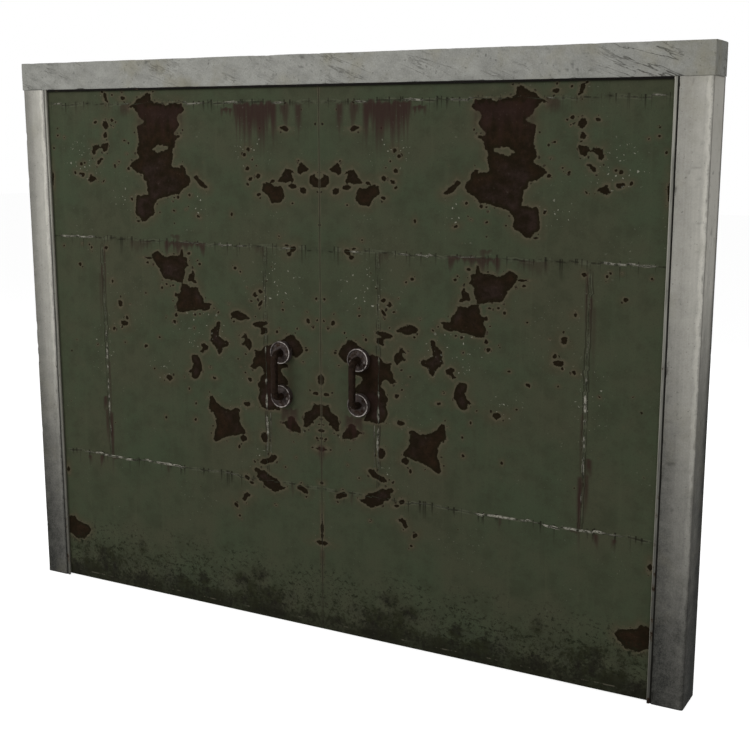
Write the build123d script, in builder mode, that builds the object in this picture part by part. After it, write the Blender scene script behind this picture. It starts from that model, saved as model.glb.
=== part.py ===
"""A pair of sheet steel door leaves, hung in a frame of two concrete jambs and a concrete lintel.

X runs along the wall, Y from the front face to the back, Z up. The origin is the middle of the left jamb's
foot. All sizes are in millimetres. Each leaf is a set of butt welded sheets on a frame of steel angle and
tee, with three lift-off hinges behind it and a pull handle on its front. The leaves swing away from the front.
"""
import os

from build123d import *

# Concrete frame
OPENING_WIDTH = 3020
OPENING_HEIGHT = 2400
JAMB_WIDTH = 125
JAMB_DEPTH = 162
JAMB_CORNER_RADIUS = 9
LINTEL_HEIGHT = 124
LINTEL_OVERHANG = 2
LINTEL_PROUD = 1
LINTEL_CHAMFER = 4

# Steel stops that the leaves close behind
STOP_WIDTH = 17
STOP_THICKNESS = 8
STOP_GROOVE_WIDTH = 7
STOP_GROOVE_DEPTH = 5
HEAD_STOP_HEIGHT = 8
HEAD_STOP_SETBACK = 2

# Clearances round the leaves
STOP_CLEARANCE = 6
REVEAL_CLEARANCE = 8
HEAD_CLEARANCE = 6
FLOOR_CLEARANCE = 6
MEETING_GAP = 3

# Leaf sheets: bands across the top and bottom, a panel at each edge, and the middle sheet takes the rest
SHEET_THICKNESS = 4
TOP_BAND_HEIGHT = 64
UPPER_BAND_HEIGHT = 614
LOWER_BAND_HEIGHT = 655
OUTER_PANEL_WIDTH = 303
INNER_PANEL_WIDTH = 282.5

# Leaf frame of steel angle and tee
ANGLE_LEG = 40
SECTION_THICKNESS = 4
ROOT_RADIUS = 5
TOP_RAIL_LEG = 80

# Lift-off hinges
HINGE_INSET = 250
BARREL_RADIUS = 11
KNUCKLE_HEIGHT = 80
KNUCKLE_GAP = 0.5
PIN_RADIUS = 6.5
PIN_HEIGHT = 60
PIN_CLEARANCE = 0.08
BORE_HEADROOM = 2
BARREL_STANDOFF = 2
AXIS_FROM_REVEAL = 15
HINGE_PLATE_THICKNESS = 6
HINGE_PLATE_REACH = 62
HINGE_PLATE_GAP = 8
HINGE_PLATE_CORNER = 12

# Pull handles
HANDLE_INSET = 193.5
HANDLE_HEIGHT = 1160
HANDLE_SPACING = 196
HANDLE_REACH = 70
HANDLE_BEND = 32
BAR_RADIUS = 16
ROSETTE_RADIUS = 50
ROSETTE_HEIGHT = 26
ROSETTE_RIM_WIDTH = 6
ROSETTE_RECESS = 5
ROSETTE_CHAMFER = 2
ROSETTE_CLEARANCE = 0.2

# Places worked out from the sizes above
CENTRE_X = (JAMB_WIDTH + OPENING_WIDTH) / 2
FRONT_Y = -JAMB_DEPTH / 2
REVEAL = OPENING_WIDTH / 2
STOP_EDGE = REVEAL - STOP_WIDTH

LEAF_INNER = MEETING_GAP / 2
LEAF_OUTER = REVEAL - REVEAL_CLEARANCE
LEAF_BOTTOM = FLOOR_CLEARANCE
LEAF_TOP = OPENING_HEIGHT - HEAD_CLEARANCE
LEAF_HEIGHT = LEAF_TOP - LEAF_BOTTOM

SHEET_FRONT = FRONT_Y + STOP_THICKNESS + STOP_CLEARANCE
SHEET_BACK = SHEET_FRONT + SHEET_THICKNESS
FLAT_LEG_BACK = SHEET_BACK + SECTION_THICKNESS
LEAF_BACK = SHEET_BACK + ANGLE_LEG
TOP_SEAM = LEAF_TOP - TOP_BAND_HEIGHT
UPPER_SEAM = TOP_SEAM - UPPER_BAND_HEIGHT
LOWER_SEAM = LEAF_BOTTOM + LOWER_BAND_HEIGHT
OUTER_SEAM = LEAF_OUTER - OUTER_PANEL_WIDTH
INNER_SEAM = LEAF_INNER + INNER_PANEL_WIDTH

AXIS_OFFSET = REVEAL - AXIS_FROM_REVEAL
AXIS_Y = LEAF_BACK + BARREL_RADIUS + BARREL_STANDOFF
HINGE_HEIGHT = 2 * KNUCKLE_HEIGHT + KNUCKLE_GAP
HINGE_LOW = LEAF_BOTTOM + HINGE_INSET - HINGE_HEIGHT / 2
HINGE_HIGH = LEAF_TOP - HINGE_INSET - HINGE_HEIGHT / 2
HINGE_BASES = (HINGE_LOW, (HINGE_LOW + HINGE_HIGH) / 2, HINGE_HIGH)

HANDLE_OFFSET = LEAF_INNER + HANDLE_INSET
HANDLE_LEVELS = (HANDLE_HEIGHT - HANDLE_SPACING / 2, HANDLE_HEIGHT + HANDLE_SPACING / 2)

SIDES = {"left": -1, "right": 1}


def x_at(side, offset):
    """The X of a place so far from the centre line, on one side of it."""
    return CENTRE_X + side * offset


def x_start(side, near, far):
    """The lower X of a piece that runs from near to far off the centre line."""
    return min(x_at(side, near), x_at(side, far))


def save(piece, label):
    """Names a finished piece and writes it to its own file."""
    piece.part.label = label
    export_step(piece.part, f"parts/{label}.step")


def block(width_from, width_to, depth_from, depth_to):
    """A rectangle between two places on each of the sketch's axes."""
    with Locations(((width_from + width_to) / 2, (depth_from + depth_to) / 2)):
        Rectangle(abs(width_to - width_from), abs(depth_to - depth_from))


def make_jamb(side, label):
    """A post of the doorway, with its outer front corner worn round."""
    with BuildPart() as jamb:
        with BuildSketch(Plane.XY) as plan:
            block(x_at(side, REVEAL), x_at(side, REVEAL + JAMB_WIDTH), FRONT_Y, -FRONT_Y)
            front = plan.vertices().group_by(Axis.Y)[0].sort_by(Axis.X)
            fillet(front[0] if side < 0 else front[-1], radius=JAMB_CORNER_RADIUS)
        extrude(amount=OPENING_HEIGHT)
    save(jamb, label)


def make_lintel(label):
    """The beam over the doorway, resting on both jambs, with its four long edges chamfered."""
    end = REVEAL + JAMB_WIDTH + LINTEL_OVERHANG
    face = FRONT_Y - LINTEL_PROUD
    with BuildPart() as lintel:
        with BuildSketch(Plane.YZ.offset(CENTRE_X - end)) as section:
            block(face, -face, OPENING_HEIGHT, OPENING_HEIGHT + LINTEL_HEIGHT)
            chamfer(section.vertices(), length=LINTEL_CHAMFER)
        extrude(amount=2 * end)
    save(lintel, label)


def make_stop(side, label):
    """The steel bar down one reveal, with a groove between its front and the concrete."""
    groove_floor = FRONT_Y + STOP_GROOVE_DEPTH
    with BuildPart() as stop:
        with BuildSketch(Plane.XY):
            block(x_at(side, STOP_EDGE), x_at(side, REVEAL - STOP_GROOVE_WIDTH), FRONT_Y, groove_floor)
            block(x_at(side, STOP_EDGE), x_at(side, REVEAL), groove_floor, FRONT_Y + STOP_THICKNESS)
        extrude(amount=OPENING_HEIGHT)
    save(stop, label)


def make_head_stop(label):
    """The steel bar under the lintel, from one reveal's stop to the other's."""
    with BuildPart() as stop:
        with BuildSketch(Plane.YZ.offset(CENTRE_X - STOP_EDGE)):
            block(
                FRONT_Y + HEAD_STOP_SETBACK,
                FRONT_Y + STOP_THICKNESS,
                OPENING_HEIGHT - HEAD_STOP_HEIGHT,
                OPENING_HEIGHT,
            )
        extrude(amount=2 * STOP_EDGE)
    save(stop, label)


def make_sheet(side, near, far, low, high, label):
    """One flat sheet of a leaf's face."""
    with BuildPart() as sheet:
        with BuildSketch(Plane.XZ.offset(-SHEET_BACK)):
            block(x_at(side, near), x_at(side, far), low, high)
        extrude(amount=SHEET_THICKNESS)
    save(sheet, label)


def make_stile(side, edge, inward, label):
    """An upright rolled angle at a leaf's edge: one leg on the sheets, the other standing out behind."""
    root_x = x_at(side, edge + inward * SECTION_THICKNESS)
    with BuildPart() as stile:
        with BuildSketch(Plane.XY.offset(LEAF_BOTTOM)) as section:
            block(x_at(side, edge), x_at(side, edge + inward * ANGLE_LEG), SHEET_BACK, FLAT_LEG_BACK)
            block(x_at(side, edge), root_x, SHEET_BACK, LEAF_BACK)
            fillet(section.vertices().sort_by_distance((root_x, FLAT_LEG_BACK, 0))[0], radius=ROOT_RADIUS)
        extrude(amount=LEAF_HEIGHT)
    save(stile, label)


def make_end_rail(side, edge, inward, flat_leg, label):
    """A level rolled angle at a leaf's top or bottom, coped to clear the stiles' flat legs and roots."""
    near = LEAF_INNER + SECTION_THICKNESS
    far = LEAF_OUTER - SECTION_THICKNESS
    flat_near = LEAF_INNER + ANGLE_LEG
    flat_far = LEAF_OUTER - ANGLE_LEG
    root_z = edge + inward * SECTION_THICKNESS
    with BuildPart() as rail:
        with BuildSketch(Plane.YZ.offset(x_start(side, flat_near, flat_far))) as section:
            block(SHEET_BACK, FLAT_LEG_BACK, edge, edge + inward * flat_leg)
            block(SHEET_BACK, LEAF_BACK, edge, root_z)
            fillet(section.vertices().sort_by_distance((FLAT_LEG_BACK, root_z, 0))[0], radius=ROOT_RADIUS)
        extrude(amount=flat_far - flat_near)
        with BuildSketch(Plane.YZ.offset(x_start(side, near, far))):
            block(FLAT_LEG_BACK + ROOT_RADIUS, LEAF_BACK, edge, root_z)
        extrude(amount=far - near)
    save(rail, label)


def make_mid_rail(side, level, label):
    """A level tee behind a seam, from one stile's flat leg to the other's."""
    near = LEAF_INNER + ANGLE_LEG
    far = LEAF_OUTER - ANGLE_LEG
    with BuildPart() as rail:
        with BuildSketch(Plane.YZ.offset(x_start(side, near, far))):
            block(SHEET_BACK, FLAT_LEG_BACK, level - ANGLE_LEG / 2, level + ANGLE_LEG / 2)
            block(SHEET_BACK, LEAF_BACK, level - SECTION_THICKNESS / 2, level + SECTION_THICKNESS / 2)
        extrude(amount=far - near)
    save(rail, label)


def make_stiffener(side, offset, label):
    """An upright tee behind a seam, between the two mid rails."""
    low = LOWER_SEAM + ANGLE_LEG / 2
    high = UPPER_SEAM - ANGLE_LEG / 2
    with BuildPart() as stiffener:
        with BuildSketch(Plane.XY.offset(low)):
            block(
                x_at(side, offset - ANGLE_LEG / 2),
                x_at(side, offset + ANGLE_LEG / 2),
                SHEET_BACK,
                FLAT_LEG_BACK,
            )
            block(
                x_at(side, offset - SECTION_THICKNESS / 2),
                x_at(side, offset + SECTION_THICKNESS / 2),
                SHEET_BACK,
                LEAF_BACK,
            )
        extrude(amount=high - low)
    save(stiffener, label)


def make_jamb_hinges(side, label):
    """The lower halves of the hinges: a knuckle with its pin, on a plate along the reveal."""
    axis_x = x_at(side, AXIS_OFFSET)
    plate_end = AXIS_Y + HINGE_PLATE_REACH
    with BuildPart() as hinges:
        for base in HINGE_BASES:
            with BuildSketch(Plane.XY.offset(base)):
                with Locations((axis_x, AXIS_Y)):
                    Circle(BARREL_RADIUS)
                block(x_at(side, REVEAL - HINGE_PLATE_THICKNESS), x_at(side, REVEAL), AXIS_Y, plate_end)
            extrude(amount=KNUCKLE_HEIGHT)
            with BuildSketch(Plane(origin=(axis_x, AXIS_Y, base + KNUCKLE_HEIGHT))):
                Circle(PIN_RADIUS)
            extrude(amount=PIN_HEIGHT)
        chamfer(hinges.edges().filter_by(Axis.X).group_by(Axis.Y)[-1], length=HINGE_PLATE_CORNER)
    save(hinges, label)


def make_leaf_hinges(side, label):
    """The upper halves of the hinges: a bored knuckle on a plate along the hinge stile's standing leg."""
    axis_x = x_at(side, AXIS_OFFSET)
    plate_outer = LEAF_OUTER - SECTION_THICKNESS
    plate_inner = plate_outer - HINGE_PLATE_THICKNESS
    plate_start = FLAT_LEG_BACK + HINGE_PLATE_GAP
    with BuildPart() as hinges:
        for base in HINGE_BASES:
            seat = base + KNUCKLE_HEIGHT + KNUCKLE_GAP
            with BuildSketch(Plane.XY.offset(seat)):
                with Locations((axis_x, AXIS_Y)):
                    Circle(BARREL_RADIUS)
                block(x_at(side, plate_inner), x_at(side, plate_outer), plate_start, AXIS_Y)
            extrude(amount=KNUCKLE_HEIGHT)
            with BuildSketch(Plane(origin=(axis_x, AXIS_Y, seat))):
                Circle(PIN_RADIUS + PIN_CLEARANCE)
            extrude(amount=PIN_HEIGHT + BORE_HEADROOM, mode=Mode.SUBTRACT)
        chamfer(hinges.edges().filter_by(Axis.X).group_by(Axis.Y)[0], length=HINGE_PLATE_CORNER)
    save(hinges, label)


def make_handle(side, label):
    """The bent round bar of a pull handle, both ends standing on the sheet."""
    low, high = HANDLE_LEVELS
    out_y = SHEET_FRONT - HANDLE_REACH
    handle_x = x_at(side, HANDLE_OFFSET)
    with BuildPart() as handle:
        with BuildLine(Plane.YZ.offset(handle_x)):
            FilletPolyline(
                (SHEET_FRONT, high),
                (out_y, high),
                (out_y, low),
                (SHEET_FRONT, low),
                radius=HANDLE_BEND,
            )
        with BuildSketch(Plane(origin=(handle_x, SHEET_FRONT, high), z_dir=(0, -1, 0))):
            Circle(BAR_RADIUS)
        sweep()
    save(handle, label)


def make_rosettes(side, label):
    """The two round bosses of a pull handle, each turned with a raised rim round a dished face."""
    handle_x = x_at(side, HANDLE_OFFSET)
    hole = BAR_RADIUS + ROSETTE_CLEARANCE
    rim = ROSETTE_RADIUS - ROSETTE_RIM_WIDTH
    front = SHEET_FRONT - ROSETTE_HEIGHT
    dish = front + ROSETTE_RECESS
    with BuildPart() as rosettes:
        for level in HANDLE_LEVELS:
            with BuildSketch(Plane.YZ.offset(handle_x)) as section:
                with BuildLine():
                    Polyline(
                        (SHEET_FRONT, level + hole),
                        (SHEET_FRONT, level + ROSETTE_RADIUS),
                        (front, level + ROSETTE_RADIUS),
                        (front, level + rim),
                        (dish, level + rim),
                        (dish, level + hole),
                        close=True,
                    )
                make_face()
                chamfer(section.vertices().group_by(Axis.X)[0].sort_by(Axis.Y)[-1], length=ROSETTE_CHAMFER)
            revolve(axis=Axis((handle_x, 0, level), (0, 1, 0)))
    save(rosettes, label)


def make_leaf(name, side):
    """All the pieces of one leaf."""
    make_sheet(side, LEAF_INNER, LEAF_OUTER, TOP_SEAM, LEAF_TOP, f"{name}_top_sheet")
    make_sheet(side, LEAF_INNER, LEAF_OUTER, UPPER_SEAM, TOP_SEAM, f"{name}_upper_sheet")
    make_sheet(side, OUTER_SEAM, LEAF_OUTER, LOWER_SEAM, UPPER_SEAM, f"{name}_outer_sheet")
    make_sheet(side, INNER_SEAM, OUTER_SEAM, LOWER_SEAM, UPPER_SEAM, f"{name}_middle_sheet")
    make_sheet(side, LEAF_INNER, INNER_SEAM, LOWER_SEAM, UPPER_SEAM, f"{name}_inner_sheet")
    make_sheet(side, LEAF_INNER, LEAF_OUTER, LEAF_BOTTOM, LOWER_SEAM, f"{name}_lower_sheet")
    make_stile(side, LEAF_OUTER, -1, f"{name}_hinge_stile")
    make_stile(side, LEAF_INNER, 1, f"{name}_meeting_stile")
    make_end_rail(side, LEAF_TOP, -1, TOP_RAIL_LEG, f"{name}_top_rail")
    make_end_rail(side, LEAF_BOTTOM, 1, ANGLE_LEG, f"{name}_bottom_rail")
    make_mid_rail(side, UPPER_SEAM, f"{name}_upper_rail")
    make_mid_rail(side, LOWER_SEAM, f"{name}_lower_rail")
    make_stiffener(side, OUTER_SEAM, f"{name}_outer_stiffener")
    make_stiffener(side, INNER_SEAM, f"{name}_inner_stiffener")
    make_leaf_hinges(side, f"{name}_leaf_hinges")
    make_handle(side, f"{name}_handle")
    make_rosettes(side, f"{name}_rosettes")


os.makedirs("parts", exist_ok=True)
make_lintel("lintel")
make_head_stop("head_stop")
for name, side in SIDES.items():
    make_jamb(side, f"{name}_jamb")
    make_stop(side, f"{name}_stop")
    make_jamb_hinges(side, f"{name}_jamb_hinges")
    make_leaf(name, side)
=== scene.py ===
"""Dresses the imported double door: rusted olive sheets, welds, weathered concrete, forged pulls and hinges.

Every new piece is a surface worked out on a grid in the frame's own metres. X runs along the wall, Y from the
front to the back, Z up. On the leaves, a place is told by its distance from the meeting line and its height,
so both leaves carry the same marks as mirror images.
"""
import math

import bpy
import numpy as np
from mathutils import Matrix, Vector


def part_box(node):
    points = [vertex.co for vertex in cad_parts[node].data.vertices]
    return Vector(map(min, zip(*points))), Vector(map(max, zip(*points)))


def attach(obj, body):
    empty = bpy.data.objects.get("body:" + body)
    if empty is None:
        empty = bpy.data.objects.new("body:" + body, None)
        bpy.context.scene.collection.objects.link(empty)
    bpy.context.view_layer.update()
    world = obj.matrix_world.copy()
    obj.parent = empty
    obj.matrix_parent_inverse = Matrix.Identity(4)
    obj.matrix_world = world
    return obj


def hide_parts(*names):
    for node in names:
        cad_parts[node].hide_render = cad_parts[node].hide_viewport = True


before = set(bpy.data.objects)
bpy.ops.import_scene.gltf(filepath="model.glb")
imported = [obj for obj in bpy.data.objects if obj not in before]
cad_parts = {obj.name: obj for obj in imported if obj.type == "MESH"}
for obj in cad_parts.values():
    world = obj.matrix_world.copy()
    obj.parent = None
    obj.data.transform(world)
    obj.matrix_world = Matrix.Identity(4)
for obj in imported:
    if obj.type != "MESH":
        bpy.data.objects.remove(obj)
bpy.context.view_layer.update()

MM = 0.001
SIDES = {"left": -1, "right": 1}

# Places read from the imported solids
LEFT_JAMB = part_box("left_jamb")
RIGHT_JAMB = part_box("right_jamb")
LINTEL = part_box("lintel")
CENTRE_X = (LEFT_JAMB[0].x + RIGHT_JAMB[1].x) / 2
FRONT_Y = LEFT_JAMB[0].y
SHEET_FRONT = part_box("right_upper_sheet")[0].y
SHEET_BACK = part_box("right_upper_sheet")[1].y
TOP_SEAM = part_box("right_top_sheet")[0].z
UPPER_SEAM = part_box("right_upper_sheet")[0].z
LOWER_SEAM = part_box("right_lower_sheet")[1].z
INNER_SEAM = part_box("right_inner_sheet")[1].x - CENTRE_X
OUTER_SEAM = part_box("right_outer_sheet")[0].x - CENTRE_X
LEAF_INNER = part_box("right_upper_sheet")[0].x - CENTRE_X
LEAF_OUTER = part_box("right_upper_sheet")[1].x - CENTRE_X
STOP_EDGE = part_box("right_stop")[0].x - CENTRE_X
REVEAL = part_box("right_stop")[1].x - CENTRE_X
HEAD_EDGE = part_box("head_stop")[0].z
LEAF_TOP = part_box("right_top_sheet")[1].z
LEAF_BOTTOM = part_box("right_lower_sheet")[0].z
SHEETS = ("top_sheet", "upper_sheet", "outer_sheet", "middle_sheet", "inner_sheet", "lower_sheet")
FRONTWARD = np.array([0.0, -1.0, 0.0])
BACKWARD = np.array([0.0, 1.0, 0.0])

# Grid steps of the surfaces
SHEET_STEP = 5.2 * MM
JAMB_STEP = 6.8 * MM
LINTEL_STEP = 6.5 * MM
BEAD_STEP = 2.5 * MM

# Rust that has broken through the paint: outlines, as distance from the meeting line and height, in mm
RUST_OUTLINES = {
    "torn strip": [
        (879, 2375), (904, 2378), (918, 2369), (938, 2358), (963, 2350), (979, 2331), (1018, 2314),
        (985, 2315), (974, 2306), (957, 2292), (952, 2272), (932, 2258), (918, 2253), (938, 2242),
        (964, 2230), (966, 2206), (959, 2189), (960, 2161), (966, 2133), (974, 2114), (954, 2097),
        (968, 2083), (999, 2069), (1016, 2053), (999, 2039), (977, 2025), (943, 2017), (941, 1997),
        (921, 1986), (918, 1961), (916, 1928), (938, 1921), (971, 1922), (985, 1908), (991, 1883),
        (992, 1856), (988, 1833), (971, 1819), (952, 1801), (932, 1806), (916, 1817), (893, 1828),
        (877, 1844), (888, 1858), (879, 1881), (866, 1900), (849, 1908), (821, 1917), (782, 1925),
        (743, 1931), (721, 1944), (704, 1961), (685, 1972), (671, 1989), (674, 2011), (693, 2022),
        (702, 2036), (699, 2053), (710, 2061), (727, 2060), (729, 2044), (760, 2050), (779, 2053),
        (768, 2072), (764, 2106), (767, 2133), (754, 2142), (754, 2161), (741, 2178), (718, 2190),
        (754, 2197), (760, 2203), (741, 2217), (724, 2239), (735, 2256), (737, 2269), (727, 2283),
        (707, 2292), (698, 2306), (707, 2317), (710, 2331), (732, 2333), (752, 2328), (774, 2331),
        (793, 2322), (816, 2331), (838, 2336), (860, 2333), (879, 2344),
    ],
    "crown under the upper seam": [
        (725, 1682), (734, 1686), (742, 1667), (744, 1659), (762, 1657), (800, 1651), (825, 1645),
        (844, 1651), (859, 1664), (878, 1669), (894, 1661), (903, 1651), (900, 1632), (894, 1617),
        (881, 1604), (859, 1592), (856, 1576), (851, 1557), (845, 1542), (831, 1541), (812, 1548),
        (788, 1542), (762, 1537), (741, 1532), (731, 1536), (725, 1557), (719, 1573), (712, 1586),
        (722, 1592), (706, 1604), (694, 1611), (706, 1620), (704, 1639), (709, 1648), (725, 1651),
        (722, 1664),
    ],
    "horn beside the crown": [
        (666, 1589), (678, 1592), (684, 1576), (697, 1564), (706, 1545), (700, 1537), (684, 1542),
        (669, 1539), (656, 1533), (650, 1537), (666, 1554), (669, 1570),
    ],
    "hanging patch": [
        (644, 1517), (650, 1520), (669, 1514), (694, 1517), (719, 1528), (741, 1531), (745, 1514),
        (750, 1495), (759, 1479), (775, 1482), (784, 1473), (775, 1464), (762, 1470), (761, 1454),
        (769, 1442), (778, 1429), (774, 1414), (766, 1401), (747, 1397), (712, 1401), (675, 1408),
        (644, 1411), (606, 1414), (588, 1417), (581, 1432), (572, 1445), (588, 1450), (616, 1448),
        (619, 1464), (622, 1479), (634, 1486), (641, 1501),
    ],
    "star": [
        (428, 973), (438, 979), (462, 973), (481, 967), (519, 967), (531, 973), (550, 992), (566, 1001),
        (581, 1020), (594, 1021), (600, 1001), (606, 992), (599, 979), (603, 958), (594, 945), (581, 939),
        (569, 920), (566, 901), (564, 879), (572, 864), (578, 845), (582, 820), (575, 809), (556, 808),
        (538, 820), (522, 829), (503, 840), (481, 845), (456, 848), (438, 852), (419, 859), (406, 867),
        (403, 879), (416, 892), (428, 908), (431, 932), (436, 951),
    ],
    "star's crumb": [(394, 852), (412, 855), (429, 846), (429, 832), (418, 824), (400, 829), (392, 841)],
    "crest": [
        (531, 1364), (541, 1369), (549, 1361), (550, 1345), (566, 1336), (578, 1320), (580, 1295),
        (588, 1273), (578, 1261), (559, 1251), (550, 1232), (538, 1217), (528, 1223), (519, 1239),
        (516, 1254), (500, 1256), (481, 1269), (488, 1279), (516, 1288), (525, 1295), (538, 1311),
        (536, 1329), (528, 1345),
    ],
    "mitten": [
        (597, 1248), (616, 1261), (634, 1261), (639, 1248), (631, 1242), (634, 1226), (641, 1220),
        (631, 1215), (616, 1226), (603, 1236),
    ],
    "bean": [
        (656, 1201), (675, 1204), (694, 1201), (697, 1186), (691, 1170), (684, 1158), (691, 1139),
        (703, 1129), (716, 1117), (706, 1111), (697, 1114), (699, 1098), (684, 1090), (669, 1092),
        (650, 1104), (644, 1120), (634, 1139), (638, 1158), (644, 1176),
    ],
    "above the pull": [
        (91, 1273), (97, 1296), (118, 1317), (135, 1332), (156, 1338), (171, 1332), (188, 1317),
        (203, 1308), (190, 1280), (150, 1250), (121, 1236), (112, 1244), (94, 1261),
    ],
    "beside the pull": [
        (238, 1273), (253, 1284), (276, 1279), (297, 1268), (306, 1255), (321, 1251), (344, 1255),
        (344, 1220), (353, 1199), (356, 1186), (372, 1178), (362, 1174), (341, 1164), (332, 1179),
        (312, 1180), (297, 1164), (293, 1149), (309, 1144), (315, 1132), (326, 1108), (328, 1085),
        (322, 1067), (329, 1049), (326, 1020), (315, 1002), (306, 995), (288, 989), (253, 989), (232, 994),
        (209, 995), (221, 1014), (232, 1044), (226, 1073), (194, 1102), (171, 1114), (168, 1132),
        (194, 1149), (203, 1170), (200, 1182), (168, 1188), (171, 1202), (206, 1211), (226, 1232),
        (235, 1255),
    ],
    "flag, cloth": [
        (272, 1378), (281, 1386), (306, 1387), (329, 1384), (347, 1374), (348, 1367), (338, 1359),
        (312, 1359), (294, 1364), (282, 1368),
    ],
    "flag, staff": [
        (276, 1361), (294, 1362), (306, 1355), (309, 1338), (316, 1326), (303, 1324), (294, 1332),
        (276, 1338), (269, 1348),
    ],
    "level strip": [
        (362, 1391), (376, 1402), (391, 1409), (406, 1418), (424, 1421), (444, 1423), (466, 1414),
        (470, 1404), (459, 1393), (438, 1386), (412, 1380), (390, 1385), (376, 1384),
    ],
    "climbing figure": [
        (388, 1326), (394, 1329), (403, 1314), (418, 1305), (412, 1296), (400, 1299), (400, 1285),
        (412, 1276), (406, 1270), (394, 1276), (388, 1267), (376, 1249), (368, 1252), (362, 1270),
        (359, 1285), (365, 1299), (382, 1305),
    ],
    "under the pull": [
        (135, 967), (156, 970), (171, 967), (182, 949), (209, 941), (203, 932), (188, 929), (174, 914),
        (150, 902), (126, 901), (109, 896), (105, 911), (106, 929), (118, 935), (126, 946), (132, 955),
    ],
    "splayed leg": [
        (-15, 1042), (16, 1040), (38, 1042), (44, 1032), (50, 1014), (65, 1005), (79, 996), (82, 982),
        (91, 967), (88, 949), (91, 932), (76, 929), (59, 941), (44, 952), (35, 970), (26, 984), (-15, 992),
    ],
    "on the inner seam": [
        (229, 773), (241, 782), (265, 782), (276, 770), (288, 764), (312, 758), (325, 744), (318, 735),
        (300, 732), (282, 741), (259, 744), (241, 755),
    ],
    "on the lower seam": [
        (185, 641), (206, 641), (218, 655), (235, 670), (259, 676), (282, 691), (300, 705), (329, 708),
        (347, 715), (362, 705), (356, 694), (341, 691), (344, 673), (335, 655), (312, 649), (300, 632),
        (276, 620), (250, 611), (226, 617), (206, 626),
    ],
    "left on the lower seam": [
        (68, 632), (76, 644), (88, 655), (118, 661), (132, 652), (129, 641), (106, 635), (88, 629),
        (71, 626),
    ],
    "under the lower seam": [
        (375, 576), (396, 588), (417, 580), (421, 559), (429, 551), (417, 542), (400, 551), (396, 567),
    ],
    "hanging spot": [
        (175, 1944), (183, 1972), (194, 1981), (208, 1975), (228, 1978), (239, 1989), (261, 1992),
        (283, 1986), (290, 1972), (289, 1958), (275, 1947), (256, 1931), (253, 1917), (239, 1907),
        (211, 1904), (192, 1911), (181, 1925),
    ],
    "arc, middle": [
        (125, 2042), (142, 2049), (167, 2054), (178, 2044), (192, 2019), (211, 2006), (208, 1996),
        (189, 1997), (167, 1993), (147, 2000), (133, 1997), (133, 2017), (139, 2031),
    ],
    "arc, upper": [
        (56, 2053), (67, 2067), (81, 2078), (92, 2078), (100, 2064), (111, 2042), (97, 2029), (81, 2036),
        (64, 2044),
    ],
    "arc, lowest": [
        (-15, 2000), (14, 2017), (23, 2036), (28, 2030), (47, 2022), (49, 2005), (44, 1992), (33, 1980),
        (17, 1975), (-15, 1975),
    ],
    "spur": [
        (574, 1958), (582, 1972), (604, 1989), (624, 2003), (638, 2019), (652, 2014), (657, 2004),
        (641, 1992), (621, 1972), (599, 1961),
    ],
    "right cluster, triangle": [
        (1139, 2156), (1172, 2158), (1181, 2139), (1172, 2128), (1161, 2111), (1147, 2122), (1143, 2142),
    ],
    "right cluster, wedge": [
        (1183, 2133), (1194, 2143), (1231, 2143), (1236, 2114), (1228, 2101), (1217, 2108), (1208, 2122),
    ],
    "right cluster, lower": [
        (1217, 1990), (1236, 2003), (1250, 2014), (1260, 2014), (1253, 2001), (1267, 1986), (1253, 1974),
        (1233, 1982),
    ],
    "foot corner": [
        (1350, 262), (1362, 278), (1408, 287), (1433, 295), (1454, 316), (1475, 312), (1503, 303),
        (1503, 224), (1467, 208), (1450, 199), (1417, 203), (1392, 208), (1371, 228), (1354, 245),
    ],
}
PAINT_ISLANDS = {
    "island in the torn strip": [
        (790, 2145), (815, 2148), (850, 2151), (862, 2140), (882, 2127), (868, 2122), (855, 2113),
        (830, 2122), (795, 2130),
    ],
}

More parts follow.
